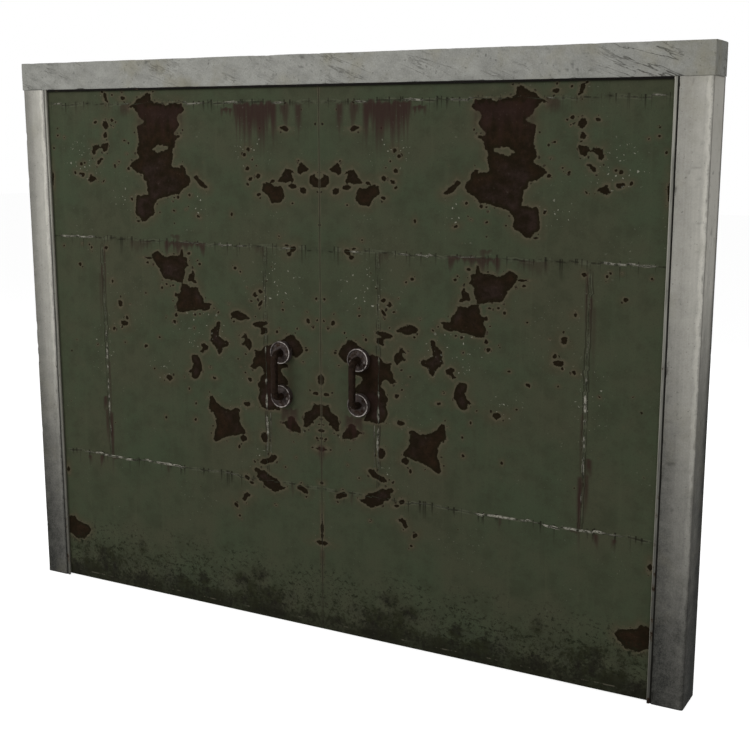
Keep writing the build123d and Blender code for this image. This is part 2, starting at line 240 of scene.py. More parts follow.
# Smaller rust spots: distance from the meeting line, height, half width, half height in mm, tilt in degrees
RUST_SPOTS = [
    # Upper panels
    (81, 1963, 15, 14, 0), (134, 1979, 15, 11, 0), (133, 2004, 8, 9, 0), (236, 2000, 12, 7, -20),
    (307, 2019, 13, 10, 0), (351, 2006, 12, 9, 0), (362, 2052, 9, 9, 0), (364, 1982, 8, 8, 0),
    (307, 1941, 11, 8, 0), (359, 2133, 11, 8, 0), (379, 2109, 8, 7, -40), (340, 2089, 6, 5, 0),
    (103, 2089, 6, 5, 0), (136, 1906, 7, 5, 0), (168, 2220, 22, 10, 0), (452, 1849, 6, 8, 0),
    (206, 1764, 6, 5, 0), (136, 1711, 17, 12, -35), (156, 1689, 13, 9, 0), (167, 1725, 12, 5, 0),
    (297, 2223, 4, 6, 0), (319, 2063, 5, 4, 0), (706, 2215, 5, 5, 0), (678, 1929, 7, 6, 0),
    (743, 1917, 9, 7, 0), (766, 1916, 7, 4, 0), (777, 1900, 4, 3, 0), (768, 1856, 6, 4, 0),
    (699, 1866, 5, 3, 0), (633, 1835, 11, 6, 20), (851, 1846, 5, 4, 0), (1010, 1904, 6, 8, 0),
    (1024, 2042, 8, 7, 0), (979, 1804, 10, 5, 0), (1028, 2108, 6, 4, 0), (1042, 2168, 6, 4, 0),
    (1044, 2357, 15, 8, 0), (1046, 2383, 5, 6, 0), (868, 2384, 6, 5, 0), (1144, 2364, 11, 22, -10),
    (1161, 2386, 8, 6, 0), (1133, 2344, 6, 5, 0), (1103, 2371, 7, 5, 0), (1149, 2239, 15, 18, -20),
    (1108, 2259, 8, 5, 0), (1089, 2250, 6, 4, 0), (1102, 2231, 5, 5, 0), (1208, 2251, 11, 6, -25),
    (1153, 2192, 11, 16, 15), (1146, 2171, 4, 4, 0), (1192, 2073, 19, 9, -35), (1286, 2065, 6, 6, 0),
    (1306, 2058, 8, 7, 0), (1304, 2010, 16, 11, 15), (1346, 2017, 6, 8, -40), (1173, 1984, 8, 4, -35),
    (1103, 2057, 6, 5, 0), (1078, 2071, 5, 4, 0), (1441, 2189, 6, 5, 0), (1444, 2221, 5, 4, 0),
    (1402, 2181, 5, 4, 0), (1472, 2133, 5, 5, 0), (1488, 1992, 7, 38, 0),
    # Inner and middle panels
    (19, 1504, 7, 6, 0), (67, 1444, 5, 4, 0), (192, 1474, 4, 4, 0), (191, 1444, 5, 4, 0),
    (65, 1404, 11, 11, 0), (16, 1411, 6, 5, 0), (308, 1517, 12, 9, 0), (335, 1501, 11, 12, 0),
    (308, 1465, 16, 8, -50), (312, 1439, 4, 4, 0), (358, 1471, 7, 4, 0), (338, 1404, 5, 4, 0),
    (376, 1530, 4, 3, 0), (442, 1615, 10, 9, 0), (414, 1599, 6, 5, 0), (476, 1455, 6, 4, 0),
    (695, 1668, 11, 9, 0), (635, 1622, 7, 6, 0), (645, 1640, 5, 4, 0), (898, 1606, 6, 5, 0),
    (932, 1615, 11, 7, 0), (925, 1636, 18, 4, 0), (825, 1520, 7, 7, 0), (788, 1518, 9, 5, 0),
    (851, 1504, 6, 7, 0), (790, 1445, 4, 4, 0), (776, 1381, 8, 8, 0), (788, 1348, 10, 8, 45),
    (640, 1393, 6, 5, 0), (667, 1390, 7, 6, 0), (560, 1426, 6, 5, 0), (536, 1410, 6, 5, 0),
    (452, 1375, 7, 5, 0), (467, 1388, 6, 4, 0), (38, 1378, 9, 6, 0), (117, 1366, 6, 5, 0),
    (222, 1343, 8, 6, 0), (210, 1363, 4, 3, 0), (72, 1276, 9, 6, 0), (91, 1221, 5, 4, 0),
    (393, 1231, 6, 4, 0), (434, 1206, 6, 5, 0), (372, 1116, 13, 8, 30), (394, 1145, 6, 3, 0),
    (390, 1005, 21, 11, -5), (28, 1089, 16, 8, 5), (0, 1150, 17, 24, 0), (45, 841, 5, 5, 0),
    (0, 843, 28, 11, 0), (132, 789, 5, 4, 0), (5, 924, 14, 7, 0), (24, 888, 7, 6, 0), (10, 951, 7, 5, 0),
    (42, 955, 6, 5, 0), (3, 890, 6, 5, 0), (440, 801, 6, 10, 0), (145, 855, 4, 3, 0), (188, 735, 6, 4, 0),
    (355, 741, 7, 5, 30), (64, 920, 5, 4, 0), (299, 859, 17, 23, -15), (107, 674, 6, 4, 0),
    (419, 1169, 4, 3, 0), (592, 1150, 7, 4, 0), (568, 1106, 12, 6, 0), (713, 1042, 6, 8, 0),
    (827, 1082, 21, 11, 0), (678, 975, 5, 6, 0), (680, 899, 7, 6, 0), (854, 889, 6, 7, 0),
    (877, 1268, 7, 5, 0), (913, 1119, 6, 4, 0), (740, 1094, 5, 4, 0), (675, 1328, 5, 5, 0),
    (829, 1373, 4, 3, 0), (505, 816, 4, 3, 0), (607, 1014, 4, 3, 0),
    # Outer panel
    (1103, 1412, 13, 16, 0), (1066, 1348, 9, 10, 0), (1083, 1317, 21, 12, 0), (1101, 1299, 7, 6, 0),
    (1148, 1290, 10, 7, -15), (958, 1221, 11, 8, 0), (1083, 1228, 6, 4, 0), (1147, 1516, 9, 9, 40),
    (1342, 1586, 9, 8, 0), (1176, 1670, 10, 9, 0), (1264, 1668, 6, 6, 0), (1277, 1683, 5, 4, 0),
    (1436, 1672, 5, 4, 0), (1322, 1687, 4, 4, 0), (1251, 1202, 5, 4, 0), (1384, 1218, 4, 3, 0),
    (948, 1473, 5, 4, 0), (1045, 1413, 4, 3, 0),
    # Lower panel
    (397, 658, 14, 10, 20), (370, 637, 13, 8, 25), (403, 534, 5, 4, 0), (463, 519, 13, 8, 50),
    (446, 467, 8, 6, 0), (433, 454, 4, 4, 0), (0, 411, 25, 10, 0), (0, 686, 9, 6, 0), (243, 550, 6, 4, 0),
    (82, 610, 5, 3, 0), (1479, 556, 9, 18, 0), (2, 470, 5, 60, 0),
]
LEAST_SPOT_DEPTH = 12
RUST_MARGIN = 0.06

# Run-off under the seams: first and last distance from the meeting line, top, length in mm, and strength
WASHES = [
    (212, 432, 2338, 235, 1.0), (85, 115, 2325, 120, 0.9), (148, 190, 2325, 100, 0.8),
    (438, 498, 2313, 78, 1.0), (708, 960, 2330, 210, 0.45), (1005, 1060, 2330, 65, 0.6),
    (600, 830, 1722, 70, 0.9), (742, 792, 1750, 38, 0.7), (905, 1030, 1716, 60, 0.4),
    (222, 292, 1120, 190, 0.45), (240, 292, 1290, 190, 0.30), (120, 205, 1010, 110, 0.75),
    (259, 266, 1000, 240, 0.5), (284, 291, 990, 240, 0.5), (1183, 1190, 1700, 190, 1.0),
    (1202, 1212, 1590, 190, 0.9), (1215, 1227, 1570, 400, 0.45), (1181, 1189, 1150, 240, 0.9),
    (1209, 1230, 958, 100, 1.0), (1177, 1196, 905, 265, 1.0), (1207, 1219, 900, 250, 1.0),
    (845, 855, 664, 110, 0.9), (1250, 1267, 656, 85, 1.0), (1325, 1341, 652, 70, 1.0),
    (1150, 1185, 664, 30, 0.8), (147, 155, 660, 90, 0.6), (286, 330, 1716, 60, 0.4),
    (0, 16, 880, 240, 0.8), (0, 10, 400, 270, 0.45),
]

# Dark stains at the foot, and drifts of pale flecks: centre, half width and half height in mm
FOOT_STAINS = [
    (330, 105, 150, 75), (345, 205, 70, 45), (440, 160, 50, 45), (300, 40, 120, 40), (660, 45, 200, 45),
    (660, 125, 35, 40), (800, 80, 75, 40), (1000, 45, 85, 55), (1020, 225, 32, 40), (1240, 115, 75, 75),
    (1290, 165, 45, 40), (1350, 70, 100, 42), (1460, 30, 70, 50), (70, 60, 50, 20),
]
PALE_DRIFTS = [
    (640, 1320, 150, 110), (540, 1290, 60, 90), (870, 1130, 90, 60), (1220, 1180, 80, 160),
    (320, 780, 50, 30), (1290, 2080, 130, 110), (620, 1890, 60, 60), (240, 1560, 160, 120),
    (1060, 1900, 80, 60), (330, 2120, 120, 70),
]

# Welds between the sheets: seam, noise seed, how far it strays, and the stretches whose crest is worn pale,
# each with its first and last place in mm and its strength
LEVEL_WELDS = {
    "top_weld": (TOP_SEAM, 51, 9 * MM, [
        (175, 225, 0.7), (400, 490, 0.8), (600, 700, 0.6), (1010, 1040, 0.5), (1400, 1460, 0.6)]),
    "upper_weld": (UPPER_SEAM, 61, 9 * MM, [
        (150, 195, 0.7), (385, 425, 0.8), (450, 530, 0.9), (640, 720, 0.4), (1245, 1450, 0.8)]),
    "lower_weld": (LOWER_SEAM, 71, 8 * MM, [
        (455, 620, 0.3), (745, 920, 1.0), (945, 1008, 1.0), (1037, 1104, 1.0), (1126, 1297, 1.0),
        (1304, 1374, 0.5)]),
}
UPRIGHT_WELDS = {
    "inner_weld": (INNER_SEAM, 91, 6 * MM, [
        (790, 867, 0.4), (870, 964, 1.0), (1000, 1055, 1.0), (1108, 1167, 1.0), (1243, 1272, 0.9),
        (1300, 1325, 0.7)]),
    "outer_weld": (OUTER_SEAM, 81, 9 * MM, [
        (780, 810, 0.5), (874, 965, 1.0), (989, 1041, 0.9), (1093, 1210, 1.0), (1245, 1275, 0.9),
        (1330, 1420, 0.3)]),
}
WELD_TURNS = (1, -1, 1)
FAR_FROM_WELD = 0.5
FAR_BELOW_WELD = 0.40

# A thin second run beside the inner weld
SECOND_RUN = (INNER_SEAM - 21 * MM, 97, 3 * MM, [(780, 990, 0.35)])
SECOND_RUN_ENDS = (0.765, 0.995)

# Sizes of the weld beads, in metres
BEAD_WIDTH = 0.0054
BEAD_HEIGHT = 0.0032
BEAD_SUNK = 0.0013
RIPPLE_LENGTH = 0.011
STITCH_LENGTH = 0.070
STITCH_PITCH = 0.210
STITCH_WIDTH = 0.0052
STITCH_HEIGHT = 0.0050
STITCH_INSET = 0.05

# Depths of pits, chips, waves and creases in the concrete, in metres
JAMB_PIT = 0.0022
JAMB_CHIP = 0.0040
JAMB_WAVE = 0.0011
LINTEL_PIT = 0.0024
LINTEL_CREASE = 0.0020
LINTEL_CHIP = 0.0022
LINTEL_WAVE = 0.0016

# Sizes of the pulls and their screws, in metres
PULL_BEND = 0.032
PULL_ROUGH = 0.0013
SCREW_RADIUS = 0.0062
SCREW_HEIGHT = 0.0034

# Bolts on the hinge plates of the jambs, two to a plate, in metres
BOLT_ACROSS = 0.0110
BOLT_HEIGHT = 0.0075
WASHER_RADIUS = 0.0135
HINGE_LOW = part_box("right_jamb_hinges")[0].z
HINGE_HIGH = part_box("right_jamb_hinges")[1].z
HINGE_PLATE = 0.080
HINGE_PIN = 0.060
HINGE_LAST = HINGE_HIGH - HINGE_PIN - HINGE_PLATE
HINGE_BASES = (HINGE_LOW, (HINGE_LOW + HINGE_LAST) / 2, HINGE_LAST)
BOLT_LEVELS = [base + HINGE_PLATE * share for base in HINGE_BASES for share in (0.27, 0.73)]

# Brown stains down the meeting line, told like the run-off
TANS = [
    (0, 13, 905, 330, 0.9), (0, 9, 560, 150, 0.9), (0, 9, 400, 260, 0.6), (0, 15, 1330, 230, 0.7),
    (0, 70, 1150, 200, 0.8), (0, 14, 2394, 70, 0.6), (290, 420, 1330, 200, 0.6), (60, 330, 2040, 150, 0.6),
]


def lattice_value(column, row, seed):
    """A number from 0 to 1 for each lattice point: its whole coordinates multiplied, added and folded."""
    mixed = column.astype(np.int64) * 374761393 + row.astype(np.int64) * 668265263 + seed * 2246822519
    mixed = (mixed & 0xFFFFFFFF).astype(np.uint64)
    mixed = ((mixed ^ (mixed >> np.uint64(13))) * np.uint64(1274126177)) & np.uint64(0xFFFFFFFF)
    return ((mixed ^ (mixed >> np.uint64(16))) & np.uint64(0xFFFFFF)).astype(float) / 0xFFFFFF


def smooth_noise(across, along, seed):
    """Noise from -1 to 1: the four lattice values round a place, blended by smooth steps both ways."""
    column, row = np.floor(across), np.floor(along)
    u, v = across - column, along - row
    u, v = u * u * (3 - 2 * u), v * v * (3 - 2 * v)
    low = lattice_value(column, row, seed) * (1 - u) + lattice_value(column + 1, row, seed) * u
    high = lattice_value(column, row + 1, seed) * (1 - u) + lattice_value(column + 1, row + 1, seed) * u
    return 2 * (low * (1 - v) + high * v) - 1


def line_noise(along, seed):
    """Noise from -1 to 1 along one line."""
    return smooth_noise(along, np.full_like(along, 0.5), seed)


def fractal(across, along, octaves, seed):
    """Octaves of smooth noise added up, each about twice as fine and half as strong as the one before."""
    total = np.zeros(np.broadcast(across, along).shape)
    strength = 1.0
    for octave in range(octaves):
        finer = 2.03 ** octave
        total += strength * smooth_noise(across * finer, along * finer, seed + 17 * octave)
        strength /= 2
    return total


def smooth_step(low, high, value):
    """0 at low, 1 at high, and a smooth change between; low may be the greater."""
    t = np.clip((value - low) / (high - low), 0, 1)
    return t * t * (3 - 2 * t)


def depth_inside(outline, s, z):
    """How far inside a closed outline each place lies: the nearest edge's distance, negative outside it.

    Places further off than the margin all count as one margin outside.
    """
    corners = np.array(outline) * MM
    low, high = corners.min(axis=0) - RUST_MARGIN, corners.max(axis=0) + RUST_MARGIN
    close = (s > low[0]) & (s < high[0]) & (z > low[1]) & (z < high[1])
    depth = np.full(s.shape, -RUST_MARGIN)
    s, z = s[close], z[close]
    nearest = np.full(s.shape, np.inf)
    inside = np.zeros(s.shape, bool)
    for (s0, z0), (s1, z1) in zip(corners, np.roll(corners, -1, axis=0)):
        along = ((s - s0) * (s1 - s0) + (z - z0) * (z1 - z0)) / ((s1 - s0) ** 2 + (z1 - z0) ** 2)
        along = np.clip(along, 0, 1)
        nearest = np.minimum(nearest, np.hypot(s - s0 - along * (s1 - s0), z - z0 - along * (z1 - z0)))
        if z0 != z1:
            crosses = (z0 > z) != (z1 > z)
            inside ^= crosses & (s < s0 + (z - z0) * (s1 - s0) / (z1 - z0))
    depth[close] = np.where(inside, nearest, -nearest)
    return depth


def depth_in_spot(spot, s, z):
    """How far inside a tilted ellipse a place lies, nearly: one less its scaled radius, times its width."""
    centre_s, centre_z, half_width, half_height, tilt = spot
    turn = math.radians(tilt)
    u = (s - centre_s * MM) * math.cos(turn) + (z - centre_z * MM) * math.sin(turn)
    v = (z - centre_z * MM) * math.cos(turn) - (s - centre_s * MM) * math.sin(turn)
    radius = np.hypot(u / (half_width * MM), v / (half_height * MM))
    return (1 - radius) * max(min(half_width, half_height), LEAST_SPOT_DEPTH) * MM


def rust_depth(s, z):
    """How far inside the rust a place lies: the deepest of outlines and spots, after noise shifts it."""
    reach = 0.004
    shifted_s = s + reach * (fractal(s * 40, z * 40, 2, 11) * 0.55 + fractal(s * 120, z * 120, 2, 12) * 0.30)
    shifted_z = z + reach * (fractal(s * 40, z * 40, 2, 13) * 0.55 + fractal(s * 120, z * 120, 2, 14) * 0.30)
    depth = np.full(s.shape, -RUST_MARGIN)
    for outline in RUST_OUTLINES.values():
        depth = np.maximum(depth, depth_inside(outline, shifted_s, shifted_z))
    for island in PAINT_ISLANDS.values():
        depth = np.minimum(depth, -depth_inside(island, shifted_s, shifted_z))
    for spot in RUST_SPOTS:
        depth = np.maximum(depth, depth_in_spot(spot, shifted_s, shifted_z))
    return np.clip(depth, -RUST_MARGIN, RUST_MARGIN)


def patch_strength(s, z, marks):
    """Soft round patches from 0 to 1: full at each centre, fading to nothing a little past its half sizes."""
    total = np.zeros(s.shape)
    for centre_s, centre_z, half_width, half_height in marks:
        radius = np.hypot((s / MM - centre_s) / half_width, (z / MM - centre_z) / half_height)
        total = np.maximum(total, smooth_step(1.25, 0.45, radius))
    return total


def wash_strength(s, z, bands):
    """Run-off from 0 to 1: bands that fade downwards from their top, each column with its own length."""
    total = np.zeros(s.shape)
    column = 0.72 + 0.42 * smooth_noise(s * 44, s * 0, 22) + 0.30 * smooth_noise(s * 120, s * 0, 23)
    for first, last, top, length, strength in bands:
        soft = min(9, (last - first) / 2 + 2)
        band = smooth_step(first - soft, first + soft, s / MM) * smooth_step(last + soft, last - soft, s / MM)
        start = top - 0.06 * length * (1 + smooth_noise(s * 70, s * 0, 24))
        below = (start - z / MM) / (length * column)
        fade = smooth_step(-0.04, 0.02, below) * smooth_step(1.10, 0.30, below)
        total = np.maximum(total, strength * band * fade)
    return np.clip(total, 0, 1)


def weld_stray(along, seed, reach):
    """How far a weld strays from its straight seam: slow swings, and short runs that slope and step back."""
    place = along * 7.5 + 0.9 * line_noise(along * 5, seed + 4)
    run = np.floor(place)
    slope = (place - run - 0.5) * (0.2 + 1.2 * lattice_value(run, np.zeros_like(run), seed + 8))
    return reach * (0.8 * line_noise(along * 5.5, seed) - slope + 0.3 * line_noise(along * 38, seed + 6))


def seam_gaps(s, z):
    """Distances to the nearest level weld and the nearest upright weld, and below the level weld above.

    A distance changes sign at its weld. Every other weld is turned over, so the sign changes nowhere else.
    """
    level_gap = np.full(s.shape, FAR_FROM_WELD)
    upright_gap = np.full(s.shape, FAR_FROM_WELD)
    below = np.full(s.shape, FAR_BELOW_WELD)
    for turn, (level, seed, reach, pale) in zip(WELD_TURNS, LEVEL_WELDS.values()):
        under = level + weld_stray(s, seed, reach) - z
        level_gap = np.where(np.abs(under) < np.abs(level_gap), turn * under, level_gap)
        below = np.where((under > -0.014) & (under < below), under, below)
    between = (z > LOWER_SEAM - 0.001) & (z < UPPER_SEAM + 0.001)
    for turn, (place, seed, reach, pale) in zip(WELD_TURNS, UPRIGHT_WELDS.values()):
        beside = s - place - weld_stray(z, seed, reach)
        upright_gap = np.where(between & (np.abs(beside) < np.abs(upright_gap)), turn * beside, upright_gap)
    return level_gap, upright_gap, below


def sheet_relief(s, z, depth):
    """How far the painted face stands out: buckles, paint curling round the rust, pitted rust below."""
    buckle = 0.0006 * fractal(s * 3.1, z * 2.3, 2, 31)
    curl = 0.0007 * np.exp(-(((depth + 0.006) / 0.004) ** 2))
    rust = smooth_step(-0.003, 0.003, depth)
    scale = rust * 0.0005 * fractal(s * 130, z * 130, 2, 33)
    return buckle + curl - 0.0010 * rust + scale


def quads(rows, columns, wrap=False, first=0):
    """The four-sided faces of a grid of points; wrap joins the last column to the first."""
    index = first + np.arange(rows * columns).reshape(rows, columns)
    after = np.roll(index, -1, axis=1)
    if not wrap:
        index, after = index[:, :-1], after[:, :-1]
    return np.stack([index[:-1], after[:-1], after[1:], index[1:]], axis=-1).reshape(-1, 4)


def faces_outward(points, faces, facing):
    """Whether the faces turn outwards: towards a direction if one is given, or away from the middle."""
    first, second, third, fourth = (points[faces[:, corner]] for corner in range(4))
    normals = np.cross(third - first, fourth - second)
    if facing is not None:
        return (normals.sum(axis=0) @ facing) > 0
    return ((first - points.mean(axis=0)) * normals).sum() > 0


def make_piece(name, points, faces, caps=(), fields=None, facing=None, smooth=True, creased=None):
    """One mesh object at the origin from points, four-sided faces and a few many-sided caps.

    Fields are numbers kept at the points. An edge between two creased points stays sharp.
    """
    points, faces = np.asarray(points, float), np.asarray(faces)
    if not faces_outward(points, faces, facing):
        faces = faces[:, ::-1]
        caps = [np.asarray(cap)[::-1] for cap in caps]
    loops = np.concatenate([faces.ravel()] + [np.asarray(cap) for cap in caps]).astype(np.int32)
    sizes = np.concatenate([np.full(len(faces), 4), [len(cap) for cap in caps]]).astype(np.int32)
    starts = np.concatenate([[0], np.cumsum(sizes)[:-1]]).astype(np.int32)
    mesh = bpy.data.meshes.new(name)
    mesh.vertices.add(len(points))
    mesh.vertices.foreach_set("co", np.ascontiguousarray(points, dtype=np.float32).ravel())
    mesh.loops.add(len(loops))
    mesh.loops.foreach_set("vertex_index", loops)
    mesh.polygons.add(len(sizes))
    mesh.polygons.foreach_set("loop_start", starts)
    shading = np.full(len(sizes), smooth)
    shading[len(faces):] = False
    mesh.polygons.foreach_set("use_smooth", shading)
    for label, values in (fields or {}).items():
        layer = mesh.attributes.new(label, "FLOAT", "POINT")
        layer.data.foreach_set("value", np.ascontiguousarray(values, dtype=np.float32).ravel())
    mesh.update(calc_edges=True)
    mesh.validate()
    if creased is not None:
        ends = np.empty(len(mesh.edges) * 2, np.int32)
        mesh.edges.foreach_get("vertices", ends)
        sharp = creased[ends.reshape(-1, 2)].all(axis=1)
        mesh.edges.foreach_set("use_edge_sharp", sharp)
    piece = bpy.data.objects.new(name, mesh)
    bpy.context.scene.collection.objects.link(piece)
    return piece


def finish_piece(piece, body, material, stands_for=()):
    """Gives a piece its material, the body it moves with and the solids it stands for."""
    piece.data.materials.append(material)
    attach(piece, body)
    if stands_for:
        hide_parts(*stands_for)
    return piece


def make_sheet(side_name, sheet, front_material, back_material):
    """A painted sheet: a fine grid over its face, its edge folded back by the thickness, and a flat back."""
    side = SIDES[side_name]
    node = f"{side_name}_{sheet}"
    low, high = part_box(node)
    columns = int(math.ceil((high.x - low.x) / SHEET_STEP)) + 1
    rows = int(math.ceil((high.z - low.z) / SHEET_STEP)) + 1
    x, z = np.meshgrid(np.linspace(low.x, high.x, columns), np.linspace(low.z, high.z, rows))
    s = side * (x - CENTRE_X)
    depth = rust_depth(s, z)
    level_gap, upright_gap, below = seam_gaps(s, z)
    y = SHEET_FRONT - sheet_relief(s, z, depth)
    face = np.pad(np.stack([x, y, z], axis=-1), ((1, 1), (1, 1), (0, 0)), mode="edge")
    border = np.ones(face.shape[:2], bool)
    border[1:-1, 1:-1] = False
    face[border, 1] = SHEET_BACK
    creased = np.ones(face.shape[:2], bool)
    creased[2:-2, 2:-2] = False
    index = np.arange(face.shape[0] * face.shape[1]).reshape(face.shape[:2])
    rim = np.concatenate([index[0, :-1], index[:-1, -1], index[-1, :0:-1], index[:0:-1, 0]])
    fields = {"rust": depth, "wash": wash_strength(s, z, WASHES), "tan": wash_strength(s, z, TANS),
              "level_gap": level_gap, "upright_gap": upright_gap, "below": below, "from_meeting": s,
              "stain": patch_strength(s, z, FOOT_STAINS), "flecks": patch_strength(s, z, PALE_DRIFTS)}
    fields = {label: np.pad(values, 1, mode="edge") for label, values in fields.items()}
    fields["edge"] = border.astype(float)
    piece = make_piece(node + "_face", face.reshape(-1, 3), quads(*face.shape[:2]), [rim[::-1]], fields,
                       facing=FRONTWARD, creased=creased.ravel())
    finish_piece(piece, f"{side_name}_leaf", front_material, [node])
    piece.data.materials.append(back_material)
    piece.data.polygons[len(piece.data.polygons) - 1].material_index = 1
    return piece


def pale_share(along, stretches, seed):
    """How pale a weld's crest is along it: the stretches' strengths, broken up by noise."""
    share = np.zeros_like(along)
    fade = 15
    for first, last, strength in stretches:
        begun = smooth_step(first - fade, first + fade, along / MM)
        unfinished = smooth_step(last + fade, last - fade, along / MM)
        share = np.maximum(share, strength * (begun * unfinished))
    wear = line_noise(along * 13, seed) + 0.5 * line_noise(along * 60, seed + 1)
    return share * smooth_step(-0.95, -0.15, wear)


def make_bead(name, side_name, weld, ends, upright, material):
    """A weld bead along a seam: half an ellipse carried along the straying line, rippled and swollen."""
    side = SIDES[side_name]
    level, seed, reach, stretches = weld
    first, last = ends
    along = np.linspace(first, last, int((last - first) / BEAD_STEP))[:, None]
    around = np.linspace(0, math.pi, 9)[None, :]
    pale = pale_share(along, stretches, seed + 2)
    ripple = 1 + 0.25 * np.sin(along * 2 * math.pi / RIPPLE_LENGTH + 3 * line_noise(along * 20, seed + 1))
    taper = smooth_step(0, 0.03, along - first) * smooth_step(0, 0.03, last - along)
    swell = (0.20 + 0.85 * pale + 0.2 * line_noise(along * 33, seed + 3)) * taper
    width = BEAD_WIDTH * np.clip(swell, 0.06, 1.3)
    height = BEAD_HEIGHT * np.clip(swell * ripple, 0.05, 1.4) + 0.0008
    across = level + weld_stray(along, seed, reach) + width * np.cos(around)
    out = height * np.sin(around) - BEAD_SUNK
    s, z = (across, along + 0 * around) if upright else (along + 0 * around, across)
    points = np.stack([CENTRE_X + side * s, SHEET_FRONT - out, z], axis=-1)
    fields = {"crest": np.broadcast_to(np.sin(around), s.shape), "pale": np.broadcast_to(pale, s.shape)}
    piece = make_piece(name, points.reshape(-1, 3), quads(*s.shape), (), fields, facing=FRONTWARD)
    return finish_piece(piece, f"{side_name}_leaf", material)


def make_beads(side_name, material):
    """The beads over all the seams of one leaf."""
    across_leaf = (LEAF_INNER + 0.003, LEAF_OUTER - 0.003)
    between = (LOWER_SEAM + 0.003, UPPER_SEAM - 0.003)
    for label, weld in LEVEL_WELDS.items():
        make_bead(f"{side_name}_{label}", side_name, weld, across_leaf, False, material)
    for label, weld in UPRIGHT_WELDS.items():
        make_bead(f"{side_name}_{label}", side_name, weld, between, True, material)
    make_bead(f"{side_name}_inner_second_weld", side_name, SECOND_RUN, SECOND_RUN_ENDS, True, material)


def stitch_lines(side_name):
    """Edges where the leaf frame's legs are welded to the sheets: upright or level, place, first, last."""
    def edges(member):
        low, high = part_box(f"{side_name}_{member}")
        return low.x, high.x, low.z, high.z
    lines = []
    for member in ("hinge_stile", "meeting_stile", "outer_stiffener", "inner_stiffener"):
        left, right, bottom, top = edges(member)
        lines += [(True, left, bottom, top), (True, right, bottom, top)]
    for member in ("top_rail", "bottom_rail", "upper_rail", "lower_rail"):
        left, right, bottom, top = edges(member)
        first, last = left + STITCH_INSET, right - STITCH_INSET
        lines += [(False, bottom, first, last), (False, top, first, last)]
    low_x, high_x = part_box(f"{side_name}_top_sheet")[0].x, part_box(f"{side_name}_top_sheet")[1].x
    clear_x = [line for line in lines if not line[0] or low_x + 0.01 < line[1] < high_x - 0.01]
    return [line for line in clear_x if line[0] or LEAF_BOTTOM + 0.01 < line[1] < LEAF_TOP - 0.01]


def make_stitches(side_name, material):
    """Short fillet welds behind the leaf: rippled half ellipses, tapered, spaced along each edge."""
    starts, upright, place = [], [], []
    for is_upright, level, first, last in stitch_lines(side_name):
        begun = np.arange(first + 0.09, last - 0.09 - STITCH_LENGTH, STITCH_PITCH)
        starts.append(begun)
        upright.append(np.full(len(begun), is_upright))
        place.append(np.full(len(begun), level))
    starts, upright, place = (np.concatenate(values)[:, None, None] for values in (starts, upright, place))
    run = np.linspace(0, 1, 26)[None, :, None]
    around = np.linspace(0, math.pi, 7)[None, None, :]
    along = starts + run * STITCH_LENGTH
    swell = np.sqrt(np.clip(np.sin(run * math.pi), 0, 1)) * (1 + 0.18 * np.sin(run * 60 + starts * 40))
    across = place + STITCH_WIDTH * swell * np.cos(around)
    out = STITCH_HEIGHT * swell * np.sin(around) - 0.0004
    shape = across.shape
    along = np.broadcast_to(along, shape)
    x = np.where(upright, across, along)
    z = np.where(upright, along, across)
    points = np.stack([x, SHEET_BACK + out, z], axis=-1)
    count = shape[1] * shape[2]
    faces = quads(shape[1], shape[2])
    turned = np.where(upright[:, :, 0, None], faces[None, :, ::-1], faces[None])
    faces = (turned + count * np.arange(shape[0])[:, None, None]).reshape(-1, 4)
    piece = make_piece(f"{side_name}_stitch_welds", points.reshape(-1, 3), faces, facing=BACKWARD)
    return finish_piece(piece, f"{side_name}_leaf", material)


def rounded_outline(half_width, half_depth, radii, step):
    """A rectangle with round corners, as places, outward normals and distances round it.

    Each corner is a quarter circle of its own radius, each side a straight run, sampled about a step apart.
    """
    places, normals = [], []
    corners = ((1, -1, -90), (1, 1, 0), (-1, 1, 90), (-1, -1, 180))
    ends = []
    for (across, back, start), radius in zip(corners, radii):
        turn = np.radians(start + np.linspace(0, 90, max(4, int(radius * 1.6 / step * 2) + 2)))
        ring = np.stack([np.cos(turn), np.sin(turn)], axis=-1)
        centre = np.array([across * (half_width - radius), back * (half_depth - radius)])
        ends.append((centre + radius * ring, ring))
    for number, (arc, ring) in enumerate(ends):
        following = ends[(number + 1) % 4][0][0]
        gap = np.linalg.norm(following - arc[-1])
        run = np.linspace(0, 1, int(gap / step) + 2)[1:-1, None]
        places += [arc, arc[-1] + run * (following - arc[-1])]
        normals += [ring, np.repeat(ring[-1:], len(run), axis=0)]
    places, normals = np.concatenate(places), np.concatenate(normals)
    steps = np.linalg.norm(np.diff(places, axis=0, append=places[:1]), axis=1)
    return places, normals, np.concatenate([[0], np.cumsum(steps)[:-1]])


def pit_depth(around, along, seed, amount):
    """Blow holes and lost grains, from 0 to 1: the peaks of a coarse noise and a fine one, in drifts."""
    coarse = smooth_step(0.66, 0.88, smooth_noise(around * 50, along * 50, seed))
    fine = smooth_step(0.72, 0.95, smooth_noise(around * 78, along * 78, seed + 1))
    patchy = smooth_step(-0.15, 0.65, fractal(around * 4.5, along * 4.5, 2, seed + 2))
    return np.clip((coarse + 0.7 * fine) * patchy * amount, 0, 1)


def crease_depth(across, along, seed):
    """Trowel creases, from 0 to 1: the sharp zero lines of a noise drawn out on a slant, in drifts."""
    slant = math.radians(30)
    lengthways = along * math.cos(slant) + across * math.sin(slant)
    sideways = across * math.cos(slant) - along * math.sin(slant)
    ridge = 1 - np.abs(fractal(lengthways * 9, sideways * 34, 3, seed))
    return np.clip(ridge, 0, 1) ** 9 * smooth_step(0.0, 0.75, fractal(across * 4, along * 2.6, 3, seed + 3))


